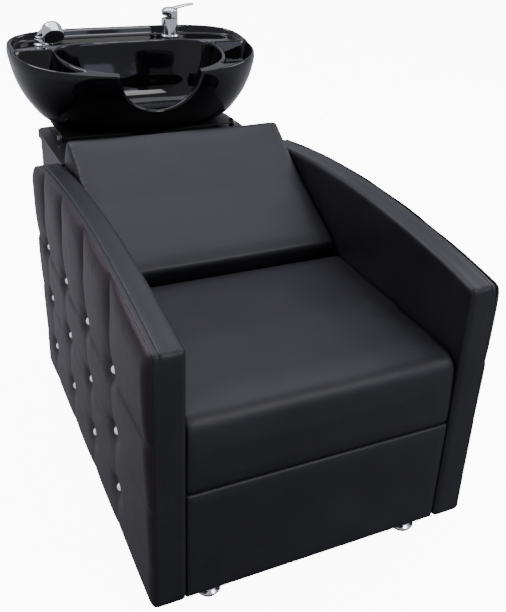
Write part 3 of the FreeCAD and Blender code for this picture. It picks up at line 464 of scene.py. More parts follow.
# CAD nodes that keep their own shape get a finished surface and slightly broken edges
KEPT = {
    TIMBER: ("right_arm_core", "left_arm_core", "front_rail", "rear_rail", "right_seat_batten",
             "left_seat_batten", "right_back_batten", "left_back_batten"),
    PLYWOOD: ("bottom_board", "divider_board", "seat_board", "front_panel_board", "back_board",
              "cabinet_front_board"),
    CABINET: ("right_cabinet_side", "left_cabinet_side", "cabinet_lid", "access_panel"),
    ZINC: ("arm_bolts", "access_screws", "bracket_screws", "pivot_bolts", "basin_bolts", "lever_pin"),
    BLACK_STEEL: ("bracket_base", "basin_carrier"),
    BRASS: ("tap_nut", "tap_inlets", "tap_stem", "shower_holder_nut"),
    GREY_PLASTIC: ("drain_nut", "waste_spigot", "tap_cartridge"),
    RUBBER: ("foot_pads", "basin_pads", "drain_gasket", "drain_washer", "tap_gasket"),
    CHROME: ("drain_fitting", "hair_strainer"),
}
WRAPPED_EDGE = 0.0015
BROKEN_EDGE = 0.0004


def finish_node(node, material, edge):
    piece = nodes[node]
    piece.data.materials.clear()
    piece.data.materials.append(material)
    piece.data.shade_smooth()
    piece.data.set_sharp_from_angle(angle=math.radians(32.0))
    soften = piece.modifiers.new("broken_edges", "BEVEL")
    soften.width = edge
    soften.segments = 2
    soften.limit_method = "ANGLE"
    soften.angle_limit = math.radians(50)
    soften.use_clamp_overlap = True


for finish, names in KEPT.items():
    for node in names:
        finish_node(node, finish, WRAPPED_EDGE if finish == CABINET else BROKEN_EDGE)

# Arms: the top edge is one arc over the arm, and the corners are rounded
ARM_FRONT_TOP = 0.576
ARM_REAR_TOP = 0.586
ARM_CORNERS = {"front_top": 0.012, "rear_top": 0.030, "foot": 0.014}
INNER_ROUND = 0.0105
LOOP_SPACING = 0.006
# The stitched strip along the arm's outer edge: how far in from the seam, and how far sunk
ARM_STRIP = ((0.0060, 0.0200), (0.0004, 0.0030), (0.0014, 0.0020), (0.0035, 0.0013), (0.0065, 0.0007),
             (0.0094, 0.0005), (0.0108, 0.0009), (0.0116, 0.0016), (0.0124, 0.0009), (0.0140, 0.0001))
STRIP_WIDTH = 0.012
STRIP_LESS = 0.2
# The sheet that closes the cover under the quilted panel: how far in from the seam and from the edge
BED_IN = 0.0110
BED_INSET = 0.02
# The top band sags a little between its edges, and the cover is faintly uneven
BAND_SAG = 0.0010
BAND_REACH = 0.011
COVER_WAVE = 0.0006


def circle_through(a, b, c):
    """Centre and radius of the circle through three points."""
    (ax, ay), (bx, by), (cx, cy) = a, b, c
    d = 2 * (ax * (by - cy) + bx * (cy - ay) + cx * (ay - by))
    a2, b2, c2 = ax * ax + ay * ay, bx * bx + by * by, cx * cx + cy * cy
    ux = (a2 * (by - cy) + b2 * (cy - ay) + c2 * (ay - by)) / d
    uy = (a2 * (cx - bx) + b2 * (ax - cx) + c2 * (bx - ax)) / d
    return ux, uy, math.hypot(ax - ux, ay - uy)


TOP_ARC = circle_through((0, ARM_FRONT_TOP), (ARM_LENGTH / 2, ARM_CROWN), (ARM_LENGTH, ARM_REAR_TOP))


def arm_top(back):
    centre_back, centre_up, radius = TOP_ARC
    return centre_up + np.sqrt(radius ** 2 - (back - centre_back) ** 2)


def arm_loop():
    """Points and inward normals once round an arm's side view."""
    corners = [(0.0, ARM_FOOT, ARM_CORNERS["foot"]), (0.0, ARM_FRONT_TOP, ARM_CORNERS["front_top"])]
    for back in np.arange(0.05, ARM_LENGTH - 0.07, 0.03):
        corners.append((float(back), float(arm_top(back)), 0.0))
    corners.append((ARM_LENGTH, ARM_REAR_TOP, ARM_CORNERS["rear_top"]))
    corners.append((ARM_LENGTH, ARM_FOOT, ARM_CORNERS["foot"]))
    coarse = np.array([tuple(p) for p in rounded(corners, steps=8, closed=True)])
    coarse = np.vstack([coarse, coarse[:1]])
    run = np.concatenate([[0], np.cumsum(np.linalg.norm(np.diff(coarse, axis=0), axis=1))])
    wanted = np.linspace(0, run[-1], int(run[-1] / LOOP_SPACING), endpoint=False)
    loop = np.stack([np.interp(wanted, run, coarse[:, k]) for k in (0, 1)], axis=1)
    tangent = np.roll(loop, -2, axis=0) - np.roll(loop, 2, axis=0)
    tangent /= np.linalg.norm(tangent, axis=1)[:, None]
    return loop, np.stack([tangent[:, 1], -tangent[:, 0]], axis=1)


def arm_cover(side):
    """The smooth cover of one arm: inner face, top band, front and rear, up to the outer seam."""
    loop, inward = arm_loop()
    middle = loop.mean(axis=0)

    def ring(across, outline):
        return np.column_stack([np.full(len(loop), across), outline])

    bed = loop + inward * BED_INSET
    rings = [ring(SEAM - BED_IN, middle + (bed - middle) * share) for share in (0.02, 0.35, 0.7)]
    on_top = ramp(loop[:, 1], ARM_FRONT_TOP - 0.03, ARM_FRONT_TOP - 0.005) * (1 - STRIP_LESS) + STRIP_LESS
    rings += [ring(SEAM - out, loop + inward * (inset * on_top)[:, None]) for out, inset in ARM_STRIP]
    first, last = SEAM - ARM_STRIP[-1][0], ARM_INNER + INNER_ROUND
    rings += [ring(first + (last - first) * share, loop) for share in np.linspace(0.12, 1.0, 7)]
    for step in range(1, 7):
        angle = math.pi / 2 * step / 6
        inset = INNER_ROUND * (1 - math.cos(angle))
        rings.append(ring(ARM_INNER + INNER_ROUND * (1 - math.sin(angle)), loop + inward * inset))
    flat = loop + inward * INNER_ROUND
    rings += [ring(ARM_INNER, middle + (flat - middle) * share) for share in np.linspace(0.97, 0.02, 40)]
    points = np.vstack(rings)
    faces = lattice(len(rings), len(loop), wrap_columns=True)
    faces.append(tuple(range(len(loop))))
    faces.append(tuple(range(len(points) - len(loop), len(points))))
    across, back, up = points.T
    soft = slow_waves(back, up, across, COVER_WAVE)
    top = ramp(up, ARM_FRONT_TOP - 0.05, ARM_FRONT_TOP)
    band_middle = (ARM_INNER + SEAM - STRIP_WIDTH) / 2
    sag = BAND_SAG * np.exp(-((across - band_middle) / BAND_REACH) ** 2) * top
    world = np.column_stack([side * (across + soft * (across < ARM_INNER + 0.001) * 0.5),
                             FRONT + back, up - sag + soft * top * (across > ARM_INNER + 0.004)])
    name = SIDES[side] + "_arm_cover"
    piece = mesh_piece(name + "_skin", world, faces, COVER, 60.0)
    return place_piece(piece, "unit", "leatherette", name)


# Quilting: buttons in four lines and three rows, read off the CAD's own buttons
BUTTON_LOW, BUTTON_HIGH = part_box("right_crystal_buttons")
BUTTON_RADIUS = 0.0065
COLUMNS = np.linspace(BUTTON_LOW.y - FRONT + BUTTON_RADIUS, BUTTON_HIGH.y - FRONT - BUTTON_RADIUS, 4)
ROWS = np.linspace(BUTTON_LOW.z + BUTTON_RADIUS, BUTTON_HIGH.z - BUTTON_RADIUS, 3)
BUTTON_SPREAD = 1.4
BUTTON_RISE = 0.0060
BUTTON_SEAT = BUTTON_LOW.x + BUTTON_RISE
BUTTON_SINK = 0.0008
BUTTON_REACH = 0.025
# How far the puffs stand out at the foot and at the top, and how much of it the folds may take
PUFF_FOOT = 0.0115
PUFF_TOP = 0.0165
TUFT_SHARE = 0.80
# Pleats along the button lines: depth everywhere, above the top row and near the seam; reach behind and ahead
PLEAT_DEPTHS = (0.26, 0.30, 0.40)
PLEAT_REACH = (0.020, 0.034)
SEAM_PLEATS = (0.120, 0.030)
# Folds along the rows: depth of each row from the lowest, reach above and below it, and sag between buttons
FOLD_DEPTHS = (0.14, 0.22, 0.42)
FOLD_REACH = (0.030, 0.0075)
ROW_SAG = 0.010
PINCH = 0.05
PUFF_WAVE = 0.05
PANEL_ROLLS = {"top": 0.040, "foot": 0.018, "front": 0.020, "rear": 0.030, "corner": 0.018}
PANEL_TURN_IN = (0.0026, 0.006)
# Lattice steps: the finest, the widest, and how far from a mark they stay under the widest
PANEL_STEPS = (0.0012, 0.0062, 0.05)
PANEL_SHARES = (0.0024, 0.0105, 0.07)
MEAN_TOP = 0.60


def gap_to_button(back, up):
    return np.min([np.hypot(back - line, up - row) for line in COLUMNS for row in ROWS], axis=0)


def tuft_height(back, up):
    """Share of its full stand-out that the quilted face has at each place, from 0 to 1."""
    nearest = np.argmin([np.abs(back - line) for line in COLUMNS], axis=0)
    signed = back - COLUMNS[nearest]
    high_up = ramp(up, ROWS[-1] - 0.03, ROWS[-1] + 0.01)
    near_seam = ramp(up, arm_top(back) - SEAM_PLEATS[0], arm_top(back) - SEAM_PLEATS[1])
    plain, high, seam = PLEAT_DEPTHS
    reach = np.where(signed > 0, *PLEAT_REACH)
    pleat = 1 - (plain + high * high_up + seam * near_seam) * np.exp(-np.abs(signed) / reach)
    inner = (back > COLUMNS[0]) & (back < COLUMNS[-1])
    share = (back - COLUMNS[0]) / (COLUMNS[1] - COLUMNS[0])
    share = share - np.floor(share)
    sag = np.where(inner, ROW_SAG * 4 * share * (1 - share), ROW_SAG * 0.5)
    fold = np.ones_like(up)
    for row, depth in zip(ROWS, FOLD_DEPTHS):
        above = up - (row - sag)
        fold = fold * (1 - depth * np.exp(-np.abs(above) / np.where(above > 0, *FOLD_REACH)))
    button_gap = gap_to_button(back, up)
    angle = np.arctan2(up - ROWS[np.argmin([np.abs(up - row) for row in ROWS], axis=0)], signed)
    pinch = PINCH * np.sin(angle * 9 + 1.0) * np.exp(-button_gap / 0.022) * ramp(button_gap, 0.006, 0.016)
    return np.clip(pleat * fold + pinch + slow_waves(back, up, 0.3, PUFF_WAVE), 0.0, 1.0)


def edge_distance(back, up):
    """Distance in from the arm's rounded side view, and the points pulled inside it."""
    right, left = ARM_LENGTH - back, back
    high, low = arm_top(back) - up, up - ARM_FOOT
    near = np.minimum(left, right)
    level_gap = np.minimum(high, low)
    top_radius = np.where(left < right, ARM_CORNERS["front_top"], ARM_CORNERS["rear_top"])
    radius = np.where(high < low, top_radius, ARM_CORNERS["foot"])
    corner = (near < radius) & (level_gap < radius)
    reach = np.hypot(radius - near, radius - level_gap)
    distance = np.where(corner, radius - reach, np.minimum(near, level_gap))
    outside = corner & (distance < 0)
    pull = np.where(outside, radius / np.maximum(reach, TINY), 1.0)
    new_near = radius - (radius - near) * pull
    shift = radius - (radius - level_gap) * pull - level_gap
    back = np.where(outside, np.where(left < right, new_near, ARM_LENGTH - new_near), back)
    up = np.where(outside, np.where(high < low, up - shift, up + shift), up)
    return np.maximum(distance, 0.0), back, up


def roll(distance, reach):
    """Rounded rise from an edge: 0 at the edge and 1 from its reach inward."""
    inside = np.clip(distance / reach, 0, 1)
    return np.sqrt(np.maximum(1 - (1 - inside) ** 2, 0))


def tufted_panel(side):
    """The quilted outer side: pleats down from the seam, sagging folds between the buttons."""
    columns = dense_steps(0.0, ARM_LENGTH, [0, ARM_LENGTH, *COLUMNS], *PANEL_STEPS)
    row_shares = (ROWS - ARM_FOOT) / (MEAN_TOP - ARM_FOOT)
    shares = dense_steps(0.0, 1.0, [0, 1, *row_shares], *PANEL_SHARES)
    back, share = np.meshgrid(columns, shares)
    up = ARM_FOOT + (arm_top(back) - ARM_FOOT) * share
    distance, back, up = edge_distance(back, up)
    rise = (roll(arm_top(back) - up, PANEL_ROLLS["top"]) * roll(up - ARM_FOOT, PANEL_ROLLS["foot"])
            * roll(back, PANEL_ROLLS["front"]) * roll(ARM_LENGTH - back, PANEL_ROLLS["rear"]))
    rise = np.minimum(rise, roll(distance, PANEL_ROLLS["corner"]))
    lift = 1 - TUFT_SHARE * (1 - tuft_height(back, up))
    stand = PUFF_FOOT + (PUFF_TOP - PUFF_FOOT) * ramp(up, ARM_FOOT + 0.10, ARM_FRONT_TOP - 0.06)
    across = SEAM + stand * rise * lift
    held = np.exp(-(gap_to_button(back, up) / BUTTON_REACH) ** 2)
    across = across + (BUTTON_SEAT - BUTTON_SINK - across) * held
    points = np.column_stack([across.ravel(), back.ravel(), up.ravel()])
    faces = lattice(*back.shape)
    rim = border_of(*back.shape)
    edge = points[rim, 1:]
    inward = np.sign(np.array([ARM_LENGTH / 2, (ARM_FOOT + ARM_CROWN) / 2]) - edge)
    rings = [np.column_stack([np.full(len(rim), SEAM), edge + inward * pull]) for pull in PANEL_TURN_IN]
    points = close_behind(points, faces, rim, rings)
    world = np.column_stack([side * points[:, 0], FRONT + points[:, 1], points[:, 2]])
    name = SIDES[side] + "_tufted_panel"
    piece = mesh_piece(name + "_skin", world, faces, TUFTED, 80.0)
    return place_piece(piece, "unit", "tufted_leatherette", name)


# Rings of a cut stone from its girdle to its table: radius, corners, height over the cup's seat, and turn
STONE = ((0.0056, 16, 0.0022, 0), (0.0056, 16, 0.0034, 0), (0.0043, 8, 0.0058, 0.5), (0.0027, 8, 0.0072, 0))


def crystal_buttons(side):
    """Cut crystals in chromed cups, one at each tuft."""
    word = SIDES[side]
    shape = bmesh.new()
    for line in COLUMNS:
        for row in ROWS:
            corners = []
            turn = line * 7 + row * 5
            for size, count, height, twist in STONE:
                radius = size * BUTTON_SPREAD
                for step in range(count):
                    angle = turn + 2 * math.pi * (step + twist) / count
                    back, up = line + radius * math.cos(angle), row + radius * math.sin(angle)
                    corners.append(shape.verts.new(at(side * (BUTTON_SEAT + height), back, up)))
            bmesh.ops.convex_hull(shape, input=corners)
    mesh = bpy.data.meshes.new("crystals")
    shape.to_mesh(mesh)
    shape.free()
    mesh.materials.append(CRYSTAL)
    place_piece(linked(word + "_crystals", mesh), "unit", "crystal", word + "_crystal_buttons")
    cup_radius, girdle = BUTTON_RADIUS * BUTTON_SPREAD, STONE[0][0] * BUTTON_SPREAD
    cup = [(0.0, 0.0, 0), (cup_radius, 0.0, 0.0004), (cup_radius, 0.0026, 0.0005),
           (girdle - 0.0003, 0.0032, 0.0002), (girdle - 0.0006, 0.0020, 0), (0.0, 0.0020, 0)]
    cups = [lathe(f"{word}_cup_{i}_{j}", cup, at(side * BUTTON_SEAT, line, row), CHROME, (side, 0, 0), 20)
            for i, line in enumerate(COLUMNS) for j, row in enumerate(ROWS)]
    place_piece(made_one(word + "_button_cups", cups), "unit", "chromed_metal")


for side in SIDES:
    arm_cover(side)
    tufted_panel(side)
    crystal_buttons(side)

# Cushions: a slightly small closed form is inflated as cloth, evened out and fitted to its place
SEAT_LOW, SEAT_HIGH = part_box("seat_cushion")
SEAT_BOARD_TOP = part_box("seat_board")[1].z
CUSHION_VOXEL = 0.0052
CUSHION_FILL = 0.003
CUSHION_CROWN = 0.0035
ARM_CLEAR = 0.0004
CUSHION_HALF = ARM_INNER - ARM_CLEAR
CLOTH = {"quality": 6, "mass": 0.25, "tension_stiffness": 18, "compression_stiffness": 18,
         "shear_stiffness": 8, "bending_stiffness": 1.2, "use_pressure": True,
         "uniform_pressure_force": 2.0, "vertex_group_mass": "held"}
CLOTH_FRAMES = 20
EVEN_ROUNDS = 40


def inflate(piece, pinned):
    """Points of a taut cover under pressure, without gravity: none moves further than the crown."""
    start = corner_points(piece)
    group = piece.vertex_groups.new(name="held")
    group.add([int(i) for i in np.nonzero(pinned)[0]], 1.0, "REPLACE")
    cloth = piece.modifiers.new("fill", "CLOTH")
    for key, value in CLOTH.items():
        setattr(cloth.settings, key, value)
    cloth.settings.effector_weights.gravity = 0
    cloth.collision_settings.use_collision = False
    scene = bpy.context.scene
    for number in range(1, CLOTH_FRAMES + 1):
        scene.frame_set(number)
    apply_modifiers(piece)
    scene.frame_set(1)
    piece.vertex_groups.clear()
    moved = corner_points(piece) - start
    length = np.linalg.norm(moved, axis=1)
    moved *= np.minimum(1.0, CUSHION_CROWN / np.maximum(length, TINY))[:, None]
    return start + evened(piece.data, moved, EVEN_ROUNDS)


def prism(outline, half):
    """Points and faces of an outline in (back, up), drawn across."""
    count = len(outline)
    points = [(x, FRONT + back, up) for x in (-half, half) for back, up in outline]
    faces = [(i, (i + 1) % count, (i + 1) % count + count, i + count) for i in range(count)]
    faces += [tuple(range(count)), tuple(range(count, 2 * count))]
    return points, faces


def cushion_form(name, outline, half, held):
    """An even mesh over a pad's outline, inflated where held says no, and its points."""
    piece = mesh_piece(name, *prism(outline, half), COVER)
    remesh = piece.modifiers.new("even", "REMESH")
    remesh.mode = "VOXEL"
    remesh.voxel_size = CUSHION_VOXEL
    apply_modifiers(piece)
    relax(piece, 4)
    set_points(piece, inflate(piece, held(corner_points(piece))))
    relax(piece, 2)
    return piece, corner_points(piece)


def finish_cushion(piece, place):
    set_points(piece, place)
    finer = piece.modifiers.new("finer", "SUBSURF")
    finer.levels = 1
    finer.render_levels = 1
    apply_modifiers(piece)
    piece.data.shade_smooth()


def fit_between(values, low, high):
    """Values stretched evenly so that they run from low to high."""
    least, most = values.min(), values.max()
    return low + (values - least) * (high - low) / (most - least)


def fill_width(place):
    """Brings a cushion to the arms on both sides."""
    place[:, 0] = fit_between(np.clip(place[:, 0], -CUSHION_HALF, CUSHION_HALF), -CUSHION_HALF, CUSHION_HALF)


def seat_cushion():
    """Thick seat pad whose cover turns down over the board's front edge."""
    front, rear = SEAT_LOW.y - FRONT, SEAT_HIGH.y - FRONT
    face = front + CUSHION_FILL * 0.4
    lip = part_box("seat_board")[0].y - FRONT - 0.0005
    hem, over_board = SEAT_LOW.z + 0.001, SEAT_BOARD_TOP + 0.0005
    outline = [(face, hem, 0.003), (face, SEAT_HIGH.z - 0.010 - CUSHION_FILL, 0.040),
               ((front + rear) / 2, SEAT_HIGH.z - CUSHION_FILL, 0.0), (rear, SEAT_HIGH.z - 0.004, 0.009),
               (rear, over_board, 0.006), (lip, over_board, 0.0), (lip, hem, 0.003)]

    def held(place):
        return (place[:, 2] < SEAT_BOARD_TOP + 0.006) | (place[:, 1] > FRONT + rear - 0.012)

    smooth_outline = rounded(outline, steps=8, closed=True)
    piece, place = cushion_form("seat_cushion_cover", smooth_outline, CUSHION_HALF, held)
    fill_width(place)
    deep = np.clip(place[:, 1], SEAT_LOW.y - 0.001, SEAT_HIGH.y)
    place[:, 1] = fit_between(deep, SEAT_LOW.y - 0.0005, SEAT_HIGH.y + 0.003)
    turned = place[:, 2] < SEAT_BOARD_TOP
    place[turned, 2] = fit_between(place[turned, 2], SEAT_LOW.z - 0.0016, place[turned, 2].max())
    place[:, 2] = np.minimum(place[:, 2], SEAT_HIGH.z + 0.003)
    finish_cushion(piece, place)
    return place_piece(piece, "unit", "cushion_leatherette", "seat_cushion")


BACK_SLOPE = math.radians(29.75)
BACK_FOOT = (0.479, 0.467)
BACK_LENGTH = 0.405
BACK_THICKNESS = 0.090
BACK_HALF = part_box("back_cushion")[1].x
BACK_BOARD_DEPTH = 0.015
BACK_BOARD_SPAN = (0.012, 0.393)


def on_slope(along, off):
    """A place on the back rest: along runs up the slope and off stands square to it."""
    c, s = math.cos(BACK_SLOPE), math.sin(BACK_SLOPE)
    return BACK_FOOT[0] + along * c - off * s, BACK_FOOT[1] + along * s + off * c


def along_and_off(place):
    """How far up the back rest's face each point lies, and how far it stands off its plane."""
    back = place[:, 1] - FRONT - BACK_FOOT[0]
    up = place[:, 2] - BACK_FOOT[1]
    c, s = math.cos(BACK_SLOPE), math.sin(BACK_SLOPE)
    return back * c + up * s, -back * s + up * c


def back_cushion():
    """The reclined pad, faintly hollow along its length and full across."""
    shape = [(0.001, -BACK_THICKNESS, 0.004), (-0.001, -CUSHION_FILL, 0.010),
             (BACK_LENGTH * 0.5, -0.006 - CUSHION_FILL, 0.0), (BACK_LENGTH, -CUSHION_FILL, 0.018),
             (BACK_LENGTH, -BACK_THICKNESS, 0.006)]
    outline = [on_slope(along, off) for along, off in rounded(shape, steps=8, closed=True)]

    def held(place):
        return along_and_off(place)[1] < -BACK_THICKNESS + 0.012

    piece, place = cushion_form("back_cushion_cover", outline, BACK_HALF, held)
    fill_width(place)
    along, _ = along_and_off(place)
    kept = np.clip(along, -0.004, BACK_LENGTH + 0.004)
    shift = fit_between(kept, -0.003, BACK_LENGTH + 0.006) - along
    place[:, 1] += shift * math.cos(BACK_SLOPE)
    place[:, 2] += shift * math.sin(BACK_SLOPE)
    finish_cushion(piece, place)
    return place_piece(piece, "unit", "cushion_leatherette", "back_cushion")


FLAP_EDGE = 0.007
FLAP_SWELL = 0.0015
FLAP_WAVE = 0.0005
FLAP_ACROSS = (0.0012, 0.010, 0.05)
FLAP_UP = (0.0012, 0.009, 0.05)


def front_panel():
    """The padded panel under the seat, pulled in along its edges."""
    low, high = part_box("front_panel_cover")
    low, high = Vector((-CUSHION_HALF, low.y, low.z)), Vector((CUSHION_HALF, high.y, high.z + 0.0010))
    across = dense_steps(low.x, high.x, [low.x, high.x], *FLAP_ACROSS)
    up = dense_steps(low.z, high.z, [low.z, high.z], *FLAP_UP)
    x, z = np.meshgrid(across, up)
    inset = np.minimum(np.minimum(x - low.x, high.x - x), np.minimum(z - low.z, high.z - z))
    inside = np.clip(inset, 0, FLAP_EDGE)
    drop = FLAP_EDGE - np.sqrt(np.maximum(FLAP_EDGE ** 2 - (FLAP_EDGE - inside) ** 2, 0))
    swell = FLAP_SWELL * (1 - ramp(inset, 0.0, 0.12)) * ramp(inset, 0.0, 0.02)
    y = low.y + drop + FLAP_SWELL - swell + slow_waves(x, z, 0.1, FLAP_WAVE) * ramp(inset, 0, 0.02)
    points = np.column_stack([x.ravel(), y.ravel(), z.ravel()])
    faces = lattice(*x.shape)
    rim = border_of(*x.shape)
    back_rim = points[rim]
    back_rim[:, 1] = high.y
    points = close_behind(points, faces, rim, [back_rim])
    piece = mesh_piece("front_panel_skin", points, faces, COVER, 70.0)
    place_piece(piece, "unit", "leatherette", "front_panel_cover")


# Linings: cover cloth turned over the boards' ends that would show at the seams
LINING = 0.0006
LINING_TURN = 0.0012


def lining(name, outline, half):
    """A thin skin over a board's side view, with softly rounded turns."""
    smooth_outline = rounded([(back, up, LINING_TURN) for back, up in outline], closed=True)
    piece = mesh_piece(name, *prism(smooth_outline, half), COVER, 50.0)
    place_piece(piece, "unit", "leatherette")


def board_lining(name, board):
    low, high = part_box(board)
    front, rear = low.y - FRONT - LINING, high.y - FRONT + LINING
    foot, top = low.z - LINING, high.z + LINING
    lining(name, [(front, foot), (front, top), (rear, top), (rear, foot)], SEAT_HIGH.x + LINING)


def back_lining():
    low, high = BACK_BOARD_SPAN[0] - LINING, BACK_BOARD_SPAN[1] + LINING
    near, far = -BACK_THICKNESS + LINING, -BACK_THICKNESS - BACK_BOARD_DEPTH - LINING
    outline = [on_slope(*corner) for corner in ((low, near), (high, near), (high, far), (low, far))]
    lining("back_lining", outline, BACK_HALF + LINING)


seat_cushion()
back_cushion()
front_panel()
board_lining("front_panel_lining", "front_panel_board")
board_lining("seat_lining", "seat_board")
back_lining()

# Basin: one closed skin, read along rays from the drain
BOWL_BOX, SKIRT_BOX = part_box("basin_bowl"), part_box("basin_skirt")
BASIN_FRONT = min(BOWL_BOX[0].y, SKIRT_BOX[0].y) - FRONT
BASIN_REAR = max(BOWL_BOX[1].y, SKIRT_BOX[1].y) - FRONT
BASIN_HALF = 0.332
FOOT_UP = min(BOWL_BOX[0].z, SKIRT_BOX[0].z)
RIM_FRONT_UP = 0.776
RIM_REAR_UP = 0.824
# Plan outlines: an outline is (half width, front, rear), widest at this share of its length
WIDEST_SHARE = 0.63
FRONT_POWER = 2.4
REAR_POWER = 3.2
# The outer skin by shares of its height: half width, cut back in front and at the rear, slope of the rim
SHELL_HEIGHT_SHARES = (0.0, 0.1, 0.32, 0.58, 0.82, 0.95, 1.0)
SHELL_HALF_SHARES = (0.67, 0.765, 0.875, 0.955, 0.997, 1.008, 1.0)
SHELL_FRONT_SHARES = (0.205, 0.165, 0.11, 0.06, 0.02, 0.004, 0.0)
SHELL_REAR_SHARES = (0.19, 0.155, 0.112, 0.068, 0.03, 0.008, 0.0)
SHELL_SLOPE_SHARES = (0.0, 0.0, 0.06, 0.22, 0.55, 0.85, 1.0)
# The wash bowl: its spread from floor to mouth by shares of its height, and its flare above the mouth
BOWL_LEVEL_SHARES = (0.0, 0.07, 0.42, 0.8, 1.0)
BOWL_SPREAD_SHARES = (0.0, 0.28, 0.68, 0.92, 1.0)
BOWL_FLARE = 0.35
BOWL_MOST = 1.6
BOWL_FLOOR_UP = 0.628
BOWL_FALL = 0.03
BOWL_FLOOR = (0.150, 1.035, 1.196)
BOWL_MOUTH = (0.224, 0.929, 1.243)
RIM_BAND = 0.014
RIM_ROLL = 0.0062
DECK_UP = 0.799
DECK_FRONT = 1.168
POCKET_UP = 0.748
POCKET_SPAN = (0.985, 1.152)
RIDGE = 0.012
NOTCH_HALF = 0.106
NOTCH_UP = 0.676
NOTCH_REACH = 0.120
DRAIN_BACK = 1.092
DRAIN_HOLE = 0.0252
# Rise of the walls for each metre across, and how far the castings' inner corners are rounded
WALL_PITCH = 5.0
NOTCH_PITCH = 12
CAST_BLEND = 0.0040
WALL_BLEND = 0.004
FLOOR_BLEND = 0.003
BOWL_BLEND = 0.002
# Lattice of the skin: rings up the outside, over the rim, and down the bowl
SHELL_RINGS = 46
ROLL_RINGS = 8
BOWL_RINGS = 150
BOWL_SAMPLES = 420


def plan_terms(x, back, half, front, rear):
    """A point's shares of an outline's half width and length, and the outline's power and span there."""
    widest = front + (rear - front) * WIDEST_SHARE
    ahead = back < widest
    span = np.where(ahead, widest - front, rear - widest)
    return np.abs(x) / half, np.abs(back - widest) / span, np.where(ahead, FRONT_POWER, REAR_POWER), span


def reach_of(x, back, half, front, rear):
    """A plan outline's own measure of a point: under 1 inside, over 1 outside."""
    u, v, power, _ = plan_terms(x, back, half, front, rear)
    return (u ** power + v ** power) ** (1 / power)


def gap_inside(x, back, half, front, rear):
    """Distance in from the plan outline, square to it; negative outside it."""
    u, v, power, span = plan_terms(x, back, half, front, rear)
    u, v = np.maximum(u, TINY), np.maximum(v, TINY)
    total = u ** power + v ** power
    scale = total ** (1 / power - 1)
    steep = np.hypot(scale * u ** (power - 1) / half, scale * v ** (power - 1) / span)
    return (1 - total ** (1 / power)) / steep


def shell_point(share, sine, cosine):
    """Ray length and height of the outer skin at a share of its height."""
    wide, ahead, behind, slope = (
        curve_through(SHELL_HEIGHT_SHARES, values, share)
        for values in (SHELL_HALF_SHARES, SHELL_FRONT_SHARES, SHELL_REAR_SHARES, SHELL_SLOPE_SHARES))
    depth = BASIN_REAR - BASIN_FRONT
    half, front, rear = BASIN_HALF * wide, BASIN_FRONT + depth * ahead, BASIN_REAR - depth * behind

    def inside(length):
        return reach_of(length * sine, DRAIN_BACK - length * cosine, half, front, rear) < 1

    length = halved(np.zeros_like(sine), np.full_like(sine, 0.5), 34, inside)
    back = DRAIN_BACK - length * cosine
    rise = (RIM_REAR_UP - RIM_FRONT_UP) * slope * (back - front) / (rear - front)
    return length, FOOT_UP + (RIM_FRONT_UP - FOOT_UP) * share + rise


def bowl_up(x, back):
    """Height of the wash bowl's wall above a point in plan."""
    def outside(level):
        spread = np.where(level <= 1, curve_through(BOWL_LEVEL_SHARES, BOWL_SPREAD_SHARES, level),
                          1 + (level - 1) * BOWL_FLARE)
        outline = (a + (b - a) * spread for a, b in zip(BOWL_FLOOR, BOWL_MOUTH))
        return reach_of(x, back, *outline) > 1

    level = halved(np.zeros_like(x), np.full_like(x, BOWL_MOST), 26, outside)
    wall = BOWL_FLOOR_UP + (RIM_REAR_UP - BOWL_FLOOR_UP) * level
    floor = BOWL_FLOOR_UP + BOWL_FALL * np.hypot(x, back - DRAIN_BACK)
    return soft_most([wall, floor], BOWL_BLEND)


def sunk_floor(x, floor_up, walls):
    """A flat floor with walls that rise from where the first of them is reached."""
    rise = WALL_PITCH * soft_most(walls, WALL_BLEND)
    return soft_most([np.full_like(x, floor_up), floor_up + rise], FLOOR_BLEND)


def basin_up(x, back):
    """Height of the casting's upper side: rim, bowl, tap deck, corner trays and neck notch."""
    slope = (back - BASIN_FRONT) / (BASIN_REAR - BASIN_FRONT)
    rim = RIM_FRONT_UP + (RIM_REAR_UP - RIM_FRONT_UP) * slope
    band = RIM_BAND - gap_inside(x, back, BASIN_HALF, BASIN_FRONT, BASIN_REAR)
    deck = sunk_floor(x, DECK_UP, [band, DECK_FRONT - back])
    outside_bowl = RIDGE + gap_inside(x, back, *BOWL_MOUTH)
    pocket = sunk_floor(x, POCKET_UP, [band, POCKET_SPAN[0] - back, back - POCKET_SPAN[1], outside_bowl])
    lean = np.abs(x) / NOTCH_HALF
    dip = np.sqrt(np.maximum(1 - np.minimum(lean, 1) ** 2, 0))
    notch = (RIM_FRONT_UP - (RIM_FRONT_UP - NOTCH_UP) * dip
             + NOTCH_PITCH * np.maximum(np.abs(x) - NOTCH_HALF, 0)
             + NOTCH_PITCH * np.maximum(back - BASIN_FRONT - NOTCH_REACH, 0))
    return soft_least([rim, bowl_up(x, back), deck, pocket, notch], CAST_BLEND)


